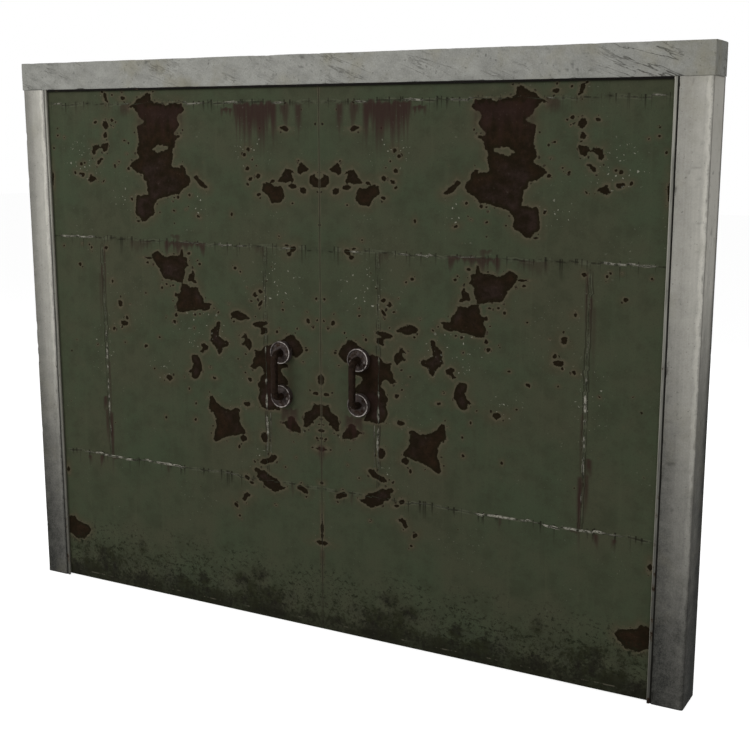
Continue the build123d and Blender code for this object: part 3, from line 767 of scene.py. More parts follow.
def make_jamb(side_name, material):
    """A concrete post: a rounded outline carried up the post, set in by pits, waves and chipped corners."""
    low, high = LEFT_JAMB if side_name == "left" else RIGHT_JAMB
    centre = (low + high) / 2
    half = (high - low) / 2
    worn, crisp = 9 * MM, 3 * MM
    radii = (worn if side_name == "right" else crisp, crisp, crisp, crisp if side_name == "right" else worn)
    places, normals, around = rounded_outline(half.x, half.y, radii, JAMB_STEP)
    stations = np.linspace(low.z, high.z, int((high.z - low.z) / JAMB_STEP) + 1)
    u, v = np.meshgrid(around, stations)
    seed = 101 if side_name == "left" else 131
    pits = pit_depth(u, v, seed, amount=0.6)
    near_corner = (half.x - np.abs(places[:, 0]) < 0.014) & (half.y - np.abs(places[:, 1]) < 0.014)
    chips = np.where(near_corner, 1.0, 0) * smooth_step(0.45, 1.1, fractal(u * 16, v * 16, 3, seed + 5))
    waves = 0.5 + 0.5 * np.clip(fractal(u * 7, v * 5, 4, seed + 7) / 1.6, -1, 1)
    on_front = smooth_step(0.2, 0.9, -normals[:, 1])
    inward = (0.3 + 0.7 * on_front) * (JAMB_PIT * pits + JAMB_CHIP * chips + JAMB_WAVE * waves)
    ends = smooth_step(0, 0.02, v - low.z) * smooth_step(0, 0.02, high.z - v)
    inward = inward * (0.15 + 0.85 * ends)
    points = np.stack([
        centre.x + places[:, 0] - inward * normals[:, 0],
        centre.y + places[:, 1] - inward * normals[:, 1],
        v,
    ], axis=-1)
    across = np.broadcast_to(places[:, 0] / half.x, u.shape)
    count = len(around)
    caps = [np.arange(count)[::-1], (len(stations) - 1) * count + np.arange(count)]
    fields = {"pit": np.clip(pits + 0.25 * chips, 0, 1), "across": across}
    name = f"{side_name}_jamb_concrete"
    piece = make_piece(name, points.reshape(-1, 3), quads(*u.shape, wrap=True), caps, fields)
    return finish_piece(piece, "frame", material, [f"{side_name}_jamb"])


def make_lintel(material):
    """A concrete beam: a rounded outline carried along it, drawn in over each end, pitted and creased."""
    low, high = LINTEL
    centre = (low + high) / 2
    half = (high - low) / 2
    places, normals, around = rounded_outline(half.y, half.z, (4 * MM, 5 * MM, 4 * MM, 1.5 * MM), LINTEL_STEP)
    run = np.linspace(low.x, high.x, int((high.x - low.x) / LINTEL_STEP) + 1)
    rings = np.linspace(1, 0.12, 12)[1:]
    stations = np.concatenate([np.full(len(rings), low.x), run, np.full(len(rings), high.x)])
    shrink = np.concatenate([rings[::-1], np.ones(len(run)), rings])[:, None]
    facing = np.concatenate([np.full(len(rings), -1), np.zeros(len(run)), np.full(len(rings), 1)])[:, None]
    y = shrink * places[:, 0]
    z = shrink * places[:, 1]
    x = np.repeat(stations[:, None], len(around), axis=1)
    flat = np.abs(facing)
    u = np.where(flat > 0, y + 3.0 + facing, np.broadcast_to(around, y.shape))
    v = np.where(flat > 0, z + 3.0, x)
    pits = pit_depth(u, v, 161, amount=0.9)
    creases = crease_depth(u, v, 163)
    corner = (half.y - np.abs(places[:, 0]) < 0.016) & (half.z - np.abs(places[:, 1]) < 0.016)
    chips = np.where(corner, 1.0, 0) * smooth_step(0.35, 1.1, fractal(u * 13, v * 13, 3, 167)) * (1 - flat)
    waves = 0.5 + 0.5 * np.clip(fractal(u * 14, v * 10, 4, 171) / 1.6, -1, 1)
    inward = LINTEL_PIT * pits + LINTEL_CREASE * creases + LINTEL_CHIP * chips + LINTEL_WAVE * waves
    points = np.stack([
        x - flat * facing * inward * smooth_step(1.0, 0.86, shrink),
        centre.y + y - (1 - flat) * inward * normals[:, 0],
        centre.z + z - (1 - flat) * inward * normals[:, 1],
    ], axis=-1)
    count = len(around)
    caps = [np.arange(count)[::-1], (len(stations) - 1) * count + np.arange(count)]
    fields = {"pit": np.clip(pits + 0.2 * chips, 0, 1), "crease": creases}
    piece = make_piece("lintel_concrete", points.reshape(-1, 3), quads(*u.shape, wrap=True), caps, fields)
    return finish_piece(piece, "frame", material, ["lintel"])


def pull_path(reach, half_height, bend, samples):
    """The bar's middle line: out from the sheet, round a quarter circle, down, round another and back in.

    Gives the length along it, the distance out from the sheet, the height from its middle, and its direction.
    """
    stem, drop = reach - bend, 2 * (half_height - bend)
    lengths = np.array([stem, bend * math.pi / 2, drop, bend * math.pi / 2, stem])
    marks = np.concatenate([[0], np.cumsum(lengths)])
    t = np.linspace(0, marks[-1], samples)
    turn = np.clip((t - marks[1]) / bend, 0, math.pi / 2) + np.clip((t - marks[3]) / bend, 0, math.pi / 2)
    out_step, up_step = np.cos(turn), -np.sin(turn)
    step = marks[-1] / (samples - 1)
    out = np.concatenate([[0], np.cumsum((out_step[1:] + out_step[:-1]) / 2 * step)])
    up = half_height + np.concatenate([[0], np.cumsum((up_step[1:] + up_step[:-1]) / 2 * step)])
    return t, out, up, out_step, up_step


def make_pull(side_name, material):
    """The forged pull bar: a circle carried along the bent path, roughened by hammering and rust."""
    low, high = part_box(f"{side_name}_handle")
    radius = (high.x - low.x) / 2
    middle_x, middle_z = (low.x + high.x) / 2, (low.z + high.z) / 2
    reach = SHEET_FRONT - low.y - radius
    half_height = (high.z - low.z) / 2 - radius
    t, out, up, out_step, up_step = pull_path(reach, half_height, PULL_BEND, 170)
    angle = np.linspace(0, 2 * math.pi, 44, endpoint=False)
    a, along = np.meshgrid(angle, t)
    marks = fractal(np.cos(a) * 2.2 + along * 45, np.sin(a) * 2.2 + along * 30, 3, 201)
    rough = 0.5 + 0.5 * np.clip(marks, -1, 1)
    r = radius - 0.0001 - PULL_ROUGH * rough
    sideways = r * np.cos(a)
    outward = r * np.sin(a)
    points = np.stack([
        middle_x + sideways,
        SHEET_FRONT - (out[:, None] - outward * up_step[:, None]),
        middle_z + up[:, None] + outward * out_step[:, None],
    ], axis=-1)
    count = len(angle)
    caps = [np.arange(count)[::-1], (len(t) - 1) * count + np.arange(count)]
    outside = smooth_step(0.3, 1.0, np.sin(a))
    grip = smooth_step(0.75, 0.98, 1 - np.abs(out_step))[:, None]
    worn = np.broadcast_to(outside * grip, a.shape)
    piece = make_piece(f"{side_name}_pull_bar", points.reshape(-1, 3), quads(*a.shape, wrap=True), caps,
                       {"worn": worn})
    return finish_piece(piece, f"{side_name}_leaf", material, [f"{side_name}_handle"])


def turned(radius, height, centre, angles, rough, seed):
    """A profile of radius and height turned about the Y axis through a centre, roughened by noise."""
    a, r = np.meshgrid(angles, radius)
    h = np.repeat(height[:, None], len(angles), axis=1)
    noise = fractal(r * np.cos(a) * 120 + 5, r * np.sin(a) * 120 + 5, 3, seed)
    h = h + rough * noise * (h > 0.001)
    return np.stack([centre.x + r * np.cos(a), centre.y - h, centre.z + r * np.sin(a)], axis=-1)


def make_rosettes(side_name, material, screw_material):
    """The turned bosses at a pull's ends: a dished face inside a thin rolled rim, with two slotted screws."""
    low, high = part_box(f"{side_name}_rosettes")
    bar_low, bar_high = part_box(f"{side_name}_handle")
    radius, tall = (high.x - low.x) / 2, high.y - low.y
    bore = (bar_high.x - bar_low.x) / 2 - 0.0008
    middle_x = (low.x + high.x) / 2
    roll = 0.0026
    dish = tall - 0.0060
    bend = np.linspace(0, math.pi, 10)
    fall = np.linspace(radius - 2 * roll - 0.0006, bore, 14)
    crown = 0.0022 * np.sin((fall - bore) / (fall[0] - bore) * math.pi)
    foot_radius, foot_height = [radius - 0.001, radius, radius], [0.0, 0.0015, tall * 0.5]
    rim_radius, rim_height = radius - roll + roll * np.cos(bend), tall - roll + roll * np.sin(bend)
    profile_radius = np.concatenate([foot_radius, rim_radius, fall, [bore]])
    profile_height = np.concatenate([foot_height, rim_height, dish + crown, [0.001]])
    worn = np.concatenate([[0, 0, 0], smooth_step(0.15, 0.8, np.sin(bend)), np.zeros(len(fall) + 1)])
    angles = np.linspace(0, 2 * math.pi, 96, endpoint=False)
    points, faces, rim_wear_and_highlight = [], [], []
    screw_points, screw_faces = [], []
    for number, level in enumerate((low.z + radius, high.z - radius)):
        centre = Vector((middle_x, SHEET_FRONT, level))
        grid = turned(profile_radius, profile_height, centre, angles, 0.0004, 211 + number)
        faces.append(quads(*grid.shape[:2], wrap=True, first=sum(map(len, points))))
        points.append(grid.reshape(-1, 3))
        # Painted highlight: the rim's wear is scaled to be brightest on its right side, as if light caught it
        # there.
        lit = 0.3 + 0.7 * smooth_step(-0.75, 0.35, np.cos(angles) - 0.25 * np.sin(angles))
        rim_wear_and_highlight.append((worn[:, None] * lit[None, :]).ravel())
        for place in (-1, 1):
            seat_x = middle_x + place * (radius + bore) * 0.51
            seat = Vector((seat_x, SHEET_FRONT - dish - 0.0012, level - 0.008))
            grid = screw_head(seat, SCREW_RADIUS, SCREW_HEIGHT, turn=20 + 35 * number + 50 * place)
            screw_faces.append(quads(*grid.shape[:2], wrap=True, first=sum(map(len, screw_points))))
            screw_points.append(grid.reshape(-1, 3))
    piece = make_piece(f"{side_name}_pull_bosses", np.concatenate(points), np.concatenate(faces),
                       fields={"worn": np.concatenate(rim_wear_and_highlight)}, facing=None)
    finish_piece(piece, f"{side_name}_leaf", material, [f"{side_name}_rosettes"])
    heads = np.concatenate(screw_points)
    screws = make_piece(f"{side_name}_pull_screws", heads, np.concatenate(screw_faces),
                        fields={"worn": np.full(len(heads), 0.55)}, facing=FRONTWARD)
    finish_piece(screws, f"{side_name}_leaf", screw_material)


def screw_head(seat, radius, height, turn):
    """A domed screw head facing the front: a round grid whose height is a dome, less a slot across it."""
    angles = np.linspace(0, 2 * math.pi, 28, endpoint=False)
    reach = np.array([1.0, 1.0, 0.93, 0.8, 0.62, 0.42, 0.22, 0.02])
    a, k = np.meshgrid(angles, reach)
    dome = height * np.sqrt(np.clip(1.08 - k ** 2, 0, 1))
    dome[0] = -0.0012
    slot = np.abs(np.sin(a - math.radians(turn))) * k * radius
    dome = np.where((slot < 0.0011) & (k < 0.99), np.minimum(dome, height * 0.45), dome)
    return np.stack([
        seat.x + k * radius * np.cos(a), seat.y - dome, seat.z + k * radius * np.sin(a)], axis=-1)


def make_jamb_bolts(side_name, material):
    """Hexagon bolts on the hinge plates: a profile turned about X, six-sided above its round washer."""
    side = SIDES[side_name]
    low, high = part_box(f"{side_name}_jamb_hinges")
    reveal = high.x if side > 0 else low.x
    face = reveal - side * 0.006
    angles = np.linspace(0, 2 * math.pi, 48, endpoint=False)
    fold = np.cos(math.pi / 6) / np.cos((angles % (math.pi / 3)) - math.pi / 6)
    radius = np.array([WASHER_RADIUS, WASHER_RADIUS, BOLT_ACROSS, BOLT_ACROSS, BOLT_ACROSS * 0.94,
                       BOLT_ACROSS * 0.05])
    height = np.array([-0.0005, 0.0022, 0.0022, BOLT_HEIGHT * 0.92, BOLT_HEIGHT, BOLT_HEIGHT * 1.02]) + 0.0002
    six_sided = np.array([0, 0, 1, 1, 1, 0])[:, None]
    r = radius[:, None] * np.where(six_sided > 0, fold[None, :], 1.0)
    centre_y = high.y - 0.026
    points, faces = [], []
    for base in BOLT_LEVELS:
        grid = np.stack([
            np.repeat((face - side * height)[:, None], len(angles), axis=1),
            centre_y + r * np.cos(angles),
            base + r * np.sin(angles),
        ], axis=-1)
        faces.append(quads(*grid.shape[:2], wrap=True, first=sum(map(len, points))))
        points.append(grid.reshape(-1, 3))
    heads = np.concatenate(points)
    piece = make_piece(f"{side_name}_hinge_bolts", heads, np.concatenate(faces), smooth=False,
                       fields={"worn": np.full(len(heads), 0.3)}, facing=np.array([-side, 0.0, 0.0]))
    return finish_piece(piece, "frame", material)


def linear(red, green, blue):
    """A display colour, 0 to 255, as the light values that shaders take."""
    values = np.array([red, green, blue]) / 255
    curve = np.where(values <= 0.04045, values / 12.92, ((values + 0.055) / 1.055) ** 2.4)
    return (*curve, 1.0)


def add(tree, kind, sockets=None, **settings):
    """Adds a shader node: settings are its own options, sockets are values or links by name or number."""
    made = tree.nodes.new(kind)
    for option, value in settings.items():
        setattr(made, option, value)
    for label, value in (sockets or {}).items():
        if isinstance(value, bpy.types.NodeSocket):
            tree.links.new(value, made.inputs[label])
        else:
            made.inputs[label].default_value = value
    return made


def noise(tree, position, scale, detail=4, roughness=0.55):
    """A noise texture's value, from 0 to 1, at a position."""
    made = add(tree, "ShaderNodeTexNoise",
               {"Vector": position, "Scale": scale, "Detail": detail, "Roughness": roughness})
    return made.outputs["Fac"]


def step_between(tree, value, low, high):
    """A smooth rise from 0 at low to 1 at high."""
    made = add(tree, "ShaderNodeMapRange", {"Value": value, "From Min": low, "From Max": high},
               interpolation_type="SMOOTHSTEP")
    return made.outputs["Result"]


def ramp(tree, value, stops):
    """A value turned into another by straight runs between stops, each a place and its result."""
    made = add(tree, "ShaderNodeValToRGB", {"Fac": value})
    elements = made.color_ramp.elements
    elements[0].position, elements[1].position = stops[0][0], stops[-1][0]
    for place, result in stops[1:-1]:
        elements.new(place)
    for element, (place, result) in zip(elements, stops):
        element.color = (result, result, result, 1)
    return made.outputs["Color"]


def maths(tree, operation, first, second=0.0, clamp=False):
    """One sum on two values."""
    made = add(tree, "ShaderNodeMath", {0: first, 1: second}, operation=operation, use_clamp=clamp)
    return made.outputs[0]


def times(tree, *values):
    """Values multiplied together."""
    total = values[0]
    for value in values[1:]:
        total = maths(tree, "MULTIPLY", total, value)
    return total


def patches(tree, position, scale, detail, roughness, low, high):
    """Noise cut to soft patches: 0 where it is under low, 1 where it is over high."""
    return step_between(tree, noise(tree, position, scale, detail, roughness), low, high)


def swing(tree, position, scale, detail, roughness):
    """Noise that swings about zero, from -0.5 to 0.5."""
    return maths(tree, "SUBTRACT", noise(tree, position, scale, detail, roughness), 0.5)


def one_less(tree, value, clamp=False):
    """One less a value."""
    return maths(tree, "SUBTRACT", 1.0, value, clamp)


def apart(tree, first, second):
    """How far two values lie apart."""
    return maths(tree, "ABSOLUTE", maths(tree, "SUBTRACT", first, second))


def blend(tree, amount, first, second):
    """Two colours mixed by an amount."""
    made = add(tree, "ShaderNodeMix", {0: amount, 6: first, 7: second}, data_type="RGBA")
    return made.outputs[2]


def stretched(tree, position, x, y, z):
    """A position scaled by its own factor along each axis, for grain and streaks."""
    made = add(tree, "ShaderNodeMapping", {"Vector": position, "Scale": (x, y, z)})
    return made.outputs["Vector"]


def field(tree, label):
    """A number that the piece carries at each point."""
    return add(tree, "ShaderNodeAttribute", attribute_name=label).outputs["Fac"]


def new_group(name, inputs, outputs):
    """A shader node group with named inputs and outputs; gives it, its input node and its output node."""
    group = bpy.data.node_groups.new(name, "ShaderNodeTree")
    for label, (kind, value) in inputs.items():
        socket = group.interface.new_socket(label, in_out="INPUT", socket_type=kind)
        if value is not None:
            socket.default_value = value
    for label, kind in outputs.items():
        group.interface.new_socket(label, in_out="OUTPUT", socket_type=kind)
    return group, group.nodes.new("NodeGroupInput"), group.nodes.new("NodeGroupOutput")


def place_group(tree, group, sockets):
    """Puts a group into a material and sets or links its inputs; gives its outputs."""
    return add(tree, "ShaderNodeGroup", sockets, node_tree=group).outputs


VECTOR, FLOAT, COLOUR = "NodeSocketVector", "NodeSocketFloat", "NodeSocketColor"


def build_rust_group():
    """Rust breaking through a coat: a depth in metres, frayed by noise, a tan rim, and its height."""
    group, inside, outside = new_group(
        "rust through paint",
        {"Position": (VECTOR, None), "Coat": (COLOUR, None), "Depth": (FLOAT, 0.0), "Fray": (FLOAT, 0.008),
         "Rust dark": (COLOUR, None), "Rust light": (COLOUR, None), "Rim": (COLOUR, None),
         "Rim width": (FLOAT, 0.006)},
        {"Color": COLOUR, "Rust": FLOAT, "Height": FLOAT},
    )
    position = inside.outputs["Position"]
    fray = swing(group, position, 32, 9, 0.70)
    depth = maths(group, "ADD", inside.outputs["Depth"], times(group, fray, inside.outputs["Fray"]))
    rust = step_between(group, depth, -0.0006, 0.0008)
    reach = times(group, inside.outputs["Rim width"], -1.0)
    near = add(group, "ShaderNodeMapRange", {"Value": depth, "From Min": reach, "From Max": 0.0},
               interpolation_type="SMOOTHSTEP").outputs["Result"]
    broken = patches(group, position, 24, 4, 0.6, 0.26, 0.54)
    tone = patches(group, position, 18, 9, 0.70, 0.34, 0.70)
    scaled = blend(group, tone, inside.outputs["Rust dark"], inside.outputs["Rust light"])
    pitted = patches(group, position, 120, 3, 0.6, 0.56, 0.70)
    scaled = blend(group, times(group, pitted, 0.5), scaled, (0.004, 0.003, 0.002, 1))
    coat = blend(group, times(group, near, broken, 0.8), inside.outputs["Coat"], inside.outputs["Rim"])
    colour = blend(group, rust, coat, scaled)
    grain = noise(group, position, 240, 5, 0.7)
    height = maths(group, "SUBTRACT", times(group, grain, rust, 0.6), times(group, rust, 0.8))
    group.links.new(colour, outside.inputs["Color"])
    group.links.new(rust, outside.inputs["Rust"])
    group.links.new(height, outside.inputs["Height"])
    return group


def build_chip_group():
    """Loose chips: round cells of a scattered pattern, some left out, each of its own size, as a depth."""
    group, inside, outside = new_group(
        "loose chips",
        {"Position": (VECTOR, None), "Cells": (FLOAT, 14.0), "Share": (FLOAT, 0.5), "Radius": (FLOAT, 0.008)},
        {"Depth": FLOAT},
    )
    position = inside.outputs["Position"]
    ruffle = add(group, "ShaderNodeTexNoise", {"Vector": position, "Scale": 120.0, "Detail": 3.0})
    shift = add(group, "ShaderNodeVectorMath", {0: ruffle.outputs["Color"], 1: (0.009, 0.009, 0.0)},
                operation="MULTIPLY").outputs[0]
    bent = add(group, "ShaderNodeVectorMath", {0: position, 1: shift}, operation="ADD").outputs[0]
    cells = add(group, "ShaderNodeTexVoronoi", {"Vector": bent, "Scale": inside.outputs["Cells"]},
                voronoi_dimensions="2D", feature="F1")
    away = maths(group, "DIVIDE", cells.outputs["Distance"], inside.outputs["Cells"])
    draws = add(group, "ShaderNodeSeparateColor", {0: cells.outputs["Color"]})
    kept = maths(group, "LESS_THAN", draws.outputs["Red"], inside.outputs["Share"])
    size = maths(group, "ADD", times(group, maths(group, "POWER", draws.outputs["Green"], 2.5), 0.75), 0.25)
    radius = times(group, size, inside.outputs["Radius"])
    left_out = times(group, one_less(group, kept), 0.1)
    depth = maths(group, "SUBTRACT", maths(group, "SUBTRACT", radius, left_out), away)
    group.links.new(depth, outside.inputs["Depth"])
    return group


def build_speck_group():
    """Small specks in drifts: the peaks of a fine noise, where a broad noise is high or a drift is marked."""
    group, inside, outside = new_group(
        "drifts of specks",
        {"Position": (VECTOR, None), "Fineness": (FLOAT, 110.0), "Cover": (FLOAT, 0.72),
         "Drift": (FLOAT, 2.6), "Marked": (FLOAT, 0.0), "Elsewhere": (FLOAT, 1.0)},
        {"Mask": FLOAT},
    )
    fine = noise(group, inside.outputs["Position"], inside.outputs["Fineness"], 2, 0.5)
    edge = maths(group, "ADD", inside.outputs["Cover"], 0.035)
    peaks = add(group, "ShaderNodeMapRange",
                {"Value": fine, "From Min": inside.outputs["Cover"], "From Max": edge}).outputs["Result"]
    broad = noise(group, inside.outputs["Position"], inside.outputs["Drift"], 3, 0.6)
    drift = step_between(group, broad, 0.46, 0.66)
    drift = times(group, drift, inside.outputs["Elsewhere"])
    drift = maths(group, "MAXIMUM", drift, inside.outputs["Marked"])
    group.links.new(times(group, peaks, drift), outside.inputs["Mask"])
    return group


def build_grime_group():
    """Splashed earth and moss near the ground: a mask of fine blotches that thickens downwards."""
    group, inside, outside = new_group(
        "grime off the ground",
        {"Position": (VECTOR, None), "Height": (FLOAT, 0.0), "Reach": (FLOAT, 0.38), "Stain": (FLOAT, 0.0)},
        {"Mask": FLOAT},
    )
    rise = maths(group, "DIVIDE", inside.outputs["Height"], inside.outputs["Reach"])
    low = one_less(group, rise, clamp=True)
    blotch = noise(group, inside.outputs["Position"], 22, 10, 0.78)
    fine = noise(group, inside.outputs["Position"], 70, 4, 0.70)
    broad = noise(group, inside.outputs["Position"], 4.5, 4, 0.6)
    mixed = maths(group, "ADD", times(group, blotch, 0.75), times(group, fine, 0.45))
    mixed = maths(group, "ADD", mixed, times(group, broad, 0.20))
    level = maths(group, "ADD", mixed, times(group, low, 0.23))
    level = maths(group, "ADD", level, times(group, inside.outputs["Stain"], 0.08))
    mask = times(group, step_between(group, level, 0.850, 0.950), step_between(group, low, 0.0, 0.25))
    group.links.new(mask, outside.inputs["Mask"])
    return group


def new_material(name, shine):
    """An empty material of some shine; gives it, its tree, its object position and its Principled shader."""
    material = bpy.data.materials.new(name)
    material.use_nodes = True
    tree = material.node_tree
    shader = tree.nodes["Principled BSDF"]
    shader.inputs["Specular IOR Level"].default_value = shine
    position = add(tree, "ShaderNodeTexCoord").outputs["Object"]
    return material, tree, position, shader


def height_of(tree, position):
    """How high a place is above the ground."""
    return add(tree, "ShaderNodeSeparateXYZ", {0: position}).outputs["Z"]


def wire(tree, shader, colour, roughness, height, strength, distance):
    """Joins a finish's colour, roughness and height to the shader."""
    tree.links.new(colour, shader.inputs["Base Color"])
    tree.links.new(roughness, shader.inputs["Roughness"])
    bump = add(tree, "ShaderNodeBump", {"Height": height, "Strength": strength, "Distance": distance})
    tree.links.new(bump.outputs["Normal"], shader.inputs["Normal"])


def leaf_paint(rust_group, chip_group, speck_group, grime_group):
    """Old olive paint: blotched, streaked, chipped to rust, washed maroon, mossy at the foot."""
    material, tree, position, shader = new_material("olive leaf paint", 0.03)
    rise = height_of(tree, position)
    from_meeting = field(tree, "from_meeting")
    place = add(tree, "ShaderNodeCombineXYZ", {0: from_meeting, 1: rise}).outputs[0]
    depth = field(tree, "rust")

    # Paint: broad green and brown clouds, upright weather streaks and a fine dark grain
    broad = noise(tree, place, 2.2, 5, 0.6)
    coat = blend(tree, step_between(tree, broad, 0.34, 0.64), linear(70, 71, 55), linear(65, 73, 55))
    mottle = noise(tree, place, 9, 9, 0.70)
    coat = blend(tree, times(tree, step_between(tree, mottle, 0.42, 0.66), 0.7), coat, linear(59, 62, 47))
    streak = noise(tree, stretched(tree, place, 30, 1.6, 1), 1.0, 6, 0.62)
    coat = blend(tree, times(tree, step_between(tree, streak, 0.50, 0.76), 0.35), coat, linear(76, 79, 61))
    grain = noise(tree, place, 130, 4, 0.7)
    coat = blend(tree, times(tree, step_between(tree, grain, 0.50, 0.72), 0.40), coat, linear(50, 52, 39))
    tanned = times(tree, step_between(tree, depth, -0.050, -0.004),
                   patches(tree, place, 11, 7, 0.66, 0.32, 0.60))
    tanned = maths(tree, "MAXIMUM", tanned, field(tree, "tan"))
    coat = blend(tree, times(tree, tanned, 0.55), coat, linear(74, 67, 51))

    # Seams: a broken dark line, a little soot, thin lines beside the upright ones, and drips below
    gap = maths(tree, "MINIMUM", maths(tree, "ABSOLUTE", field(tree, "level_gap")),
                maths(tree, "ABSOLUTE", field(tree, "upright_gap")))
    soot = patches(tree, place, 26, 6, 0.7, 0.42, 0.64)
    beside = times(tree, step_between(tree, gap, 0.018, 0.003), soot)
    coat = blend(tree, times(tree, beside, 0.30), coat, linear(43, 42, 33))
    # Painted highlight: a pale line along each side of the seam, as light on a raised lip, broken by noise.
    lip_highlight = times(tree, step_between(tree, gap, 0.0105, 0.0060),
                patches(tree, stretched(tree, place, 1, 1.6, 1), 13, 5, 0.66, 0.46, 0.60))
    coat = blend(tree, times(tree, lip_highlight, 0.55), coat, linear(88, 90, 74))
    crack = times(tree, step_between(tree, gap, 0.0046, 0.0024),
                  patches(tree, place, 15, 6, 0.66, 0.46, 0.58))
    coat = blend(tree, times(tree, crack, 0.70), coat, linear(28, 25, 19))
    rail = maths(tree, "SUBTRACT", maths(tree, "ABSOLUTE", field(tree, "upright_gap")), 0.0095)
    rail = times(tree, step_between(tree, maths(tree, "ABSOLUTE", rail), 0.0034, 0.0014),
                 patches(tree, stretched(tree, place, 1, 0.3, 1), 12, 4, 0.6, 0.42, 0.54))
    coat = blend(tree, times(tree, rail, 0.65), coat, linear(35, 33, 26))
    column = patches(tree, stretched(tree, place, 74, 0.5, 1), 1.0, 2, 0.5, 0.565, 0.63)
    length = noise(tree, stretched(tree, place, 17, 0, 1), 1.0, 1, 0.5)
    length = add(tree, "ShaderNodeMapRange", {
        "Value": length, "From Min": 0.38, "From Max": 0.72,
        "To Min": 0.012, "To Max": 0.095}).outputs["Result"]
    below = field(tree, "below")
    drip = times(tree, column, one_less(tree, maths(tree, "DIVIDE", below, length), clamp=True))
    coat = blend(tree, times(tree, drip, 0.85), coat, linear(31, 29, 22))

    # Pale specks, loose chips near the rust and in drifts, and the big rust
    pale = place_group(tree, speck_group, {"Position": place, "Fineness": 72.0, "Cover": 0.668, "Drift": 3.1,
                                           "Marked": field(tree, "flecks"), "Elsewhere": 0.25})
    chips = place_group(tree, chip_group, {"Position": place, "Cells": 12.0, "Share": 0.35, "Radius": 0.0075})
    crumbs = place_group(tree, chip_group, {"Position": stretched(tree, place, 1.0, 0.93, 1), "Cells": 34.0,
                                            "Share": 0.75, "Radius": 0.0092})
    near_rust = step_between(tree, depth, -0.046, -0.004)
    drift = times(tree, patches(tree, place, 1.7, 3, 0.6, 0.44, 0.60),
                  step_between(tree, rise, 0.45, 1.3))
    ruffle = times(tree, swing(tree, place, 95, 4, 0.65), 0.010)
    off_drift = times(tree, one_less(tree, drift), 0.006)
    off_rust = times(tree, one_less(tree, near_rust), 0.02)
    chip = maths(tree, "MAXIMUM", maths(tree, "SUBTRACT", chips["Depth"], off_drift),
                 maths(tree, "SUBTRACT", crumbs["Depth"], off_rust))
    chip = maths(tree, "ADD", chip, ruffle)
    coat = blend(tree, times(tree, step_between(tree, chip, -0.007, -0.001), 0.30), coat, linear(86, 80, 62))
    coat = blend(tree, step_between(tree, chip, -0.0004, 0.0008), coat, linear(29, 24, 16))
    mauve = times(tree, patches(tree, place, 4.0, 5, 0.6, 0.44, 0.58),
                  step_between(tree, rise, 0.30, 0.60))
    core = blend(tree, mauve, linear(45, 33, 23), linear(50, 39, 35))
    core = blend(tree, step_between(tree, depth, 0.004, 0.024), linear(34, 29, 18), core)
    rusted = place_group(tree, rust_group, {
        "Position": place, "Coat": coat, "Depth": depth, "Fray": 0.034, "Rust dark": linear(29, 23, 14),
        "Rust light": core, "Rim": linear(87, 81, 65), "Rim width": 0.015})

    # Maroon run-off over paint and rust alike, then the grime of the foot
    run = noise(tree, stretched(tree, place, 95, 2.6, 1), 1.0, 5, 0.65)
    wash = times(tree, field(tree, "wash"), step_between(tree, run, 0.16, 0.50))
    colour = blend(tree, times(tree, wash, 0.88), rusted["Color"], linear(51, 35, 32))
    bare = one_less(tree, times(tree, rusted["Rust"], 0.7))
    colour = blend(tree, times(tree, pale["Mask"], bare, 0.85), colour, linear(150, 150, 136))
    grime = place_group(tree, grime_group, {"Position": place, "Height": rise, "Reach": 0.44,
                                            "Stain": field(tree, "stain")})
    earth = blend(tree, patches(tree, place, 9, 6, 0.7, 0.42, 0.58), linear(28, 26, 21),
                  linear(36, 37, 23))
    haze = patches(tree, place, 14, 8, 0.7, 0.36, 0.58)
    haze = times(tree, field(tree, "stain"), haze, 0.55)
    colour = blend(tree, haze, colour, earth)
    ashen = times(tree, patches(tree, place, 6, 6, 0.65, 0.46, 0.62),
                  step_between(tree, rise, 0.26, 0.06))
    colour = blend(tree, times(tree, ashen, 0.35), colour, linear(50, 48, 43))
    thick = patches(tree, place, 40, 8, 0.75, 0.36, 0.62)
    thick = maths(tree, "ADD", 0.45, times(tree, thick, 0.50))
    colour = blend(tree, times(tree, grime["Mask"], thick), colour, earth)
    moss = noise(tree, stretched(tree, place, 1, 1.2, 1), 42, 8, 0.78)
    moss = times(tree, step_between(tree, moss, 0.540, 0.585), step_between(tree, rise, 0.38, 0.24),
                 patches(tree, place, 5, 5, 0.6, 0.38, 0.52))
    colour = blend(tree, times(tree, moss, 0.90), colour, linear(29, 31, 21))
    foot = times(tree, step_between(tree, rise, 0.100, 0.020), 0.55)
    colour = blend(tree, foot, colour, linear(29, 28, 21))
    ledge = maths(tree, "ADD", rise, times(tree, noise(tree, place, 3.0, 3, 0.6), 0.024))
    ledge = apart(tree, ledge, 0.047)
    chipped = patches(tree, stretched(tree, place, 14, 4, 1), 1.0, 4, 0.7, 0.53, 0.62)
    colour = blend(tree, times(tree, step_between(tree, ledge, 0.0032, 0.0012), chipped, 0.6), colour,
                   linear(104, 100, 86))

    # Worn paint by the meeting line, and painted light and shade: behind the stops, under the head stop,
    # and on the cut edges
    wear_and_highlight = patches(tree, stretched(tree, place, 40, 9, 1), 1.0, 5, 0.65, 0.36, 0.56)
    wear_and_highlight = times(tree, step_between(tree, from_meeting, 0.0085, 0.0035), wear_and_highlight,
                   step_between(tree, rise, 0.7, 1.0), 0.4)
    colour = blend(tree, wear_and_highlight, colour, linear(92, 86, 70))
    # Painted light: the strip of leaf hidden behind the stops is made pale, to offset the shade it lies in.
    behind_stop_light = step_between(tree, from_meeting, STOP_EDGE - 0.003, STOP_EDGE + 0.001)
    colour = blend(tree, times(tree, behind_stop_light, 0.6), colour, linear(104, 102, 88))
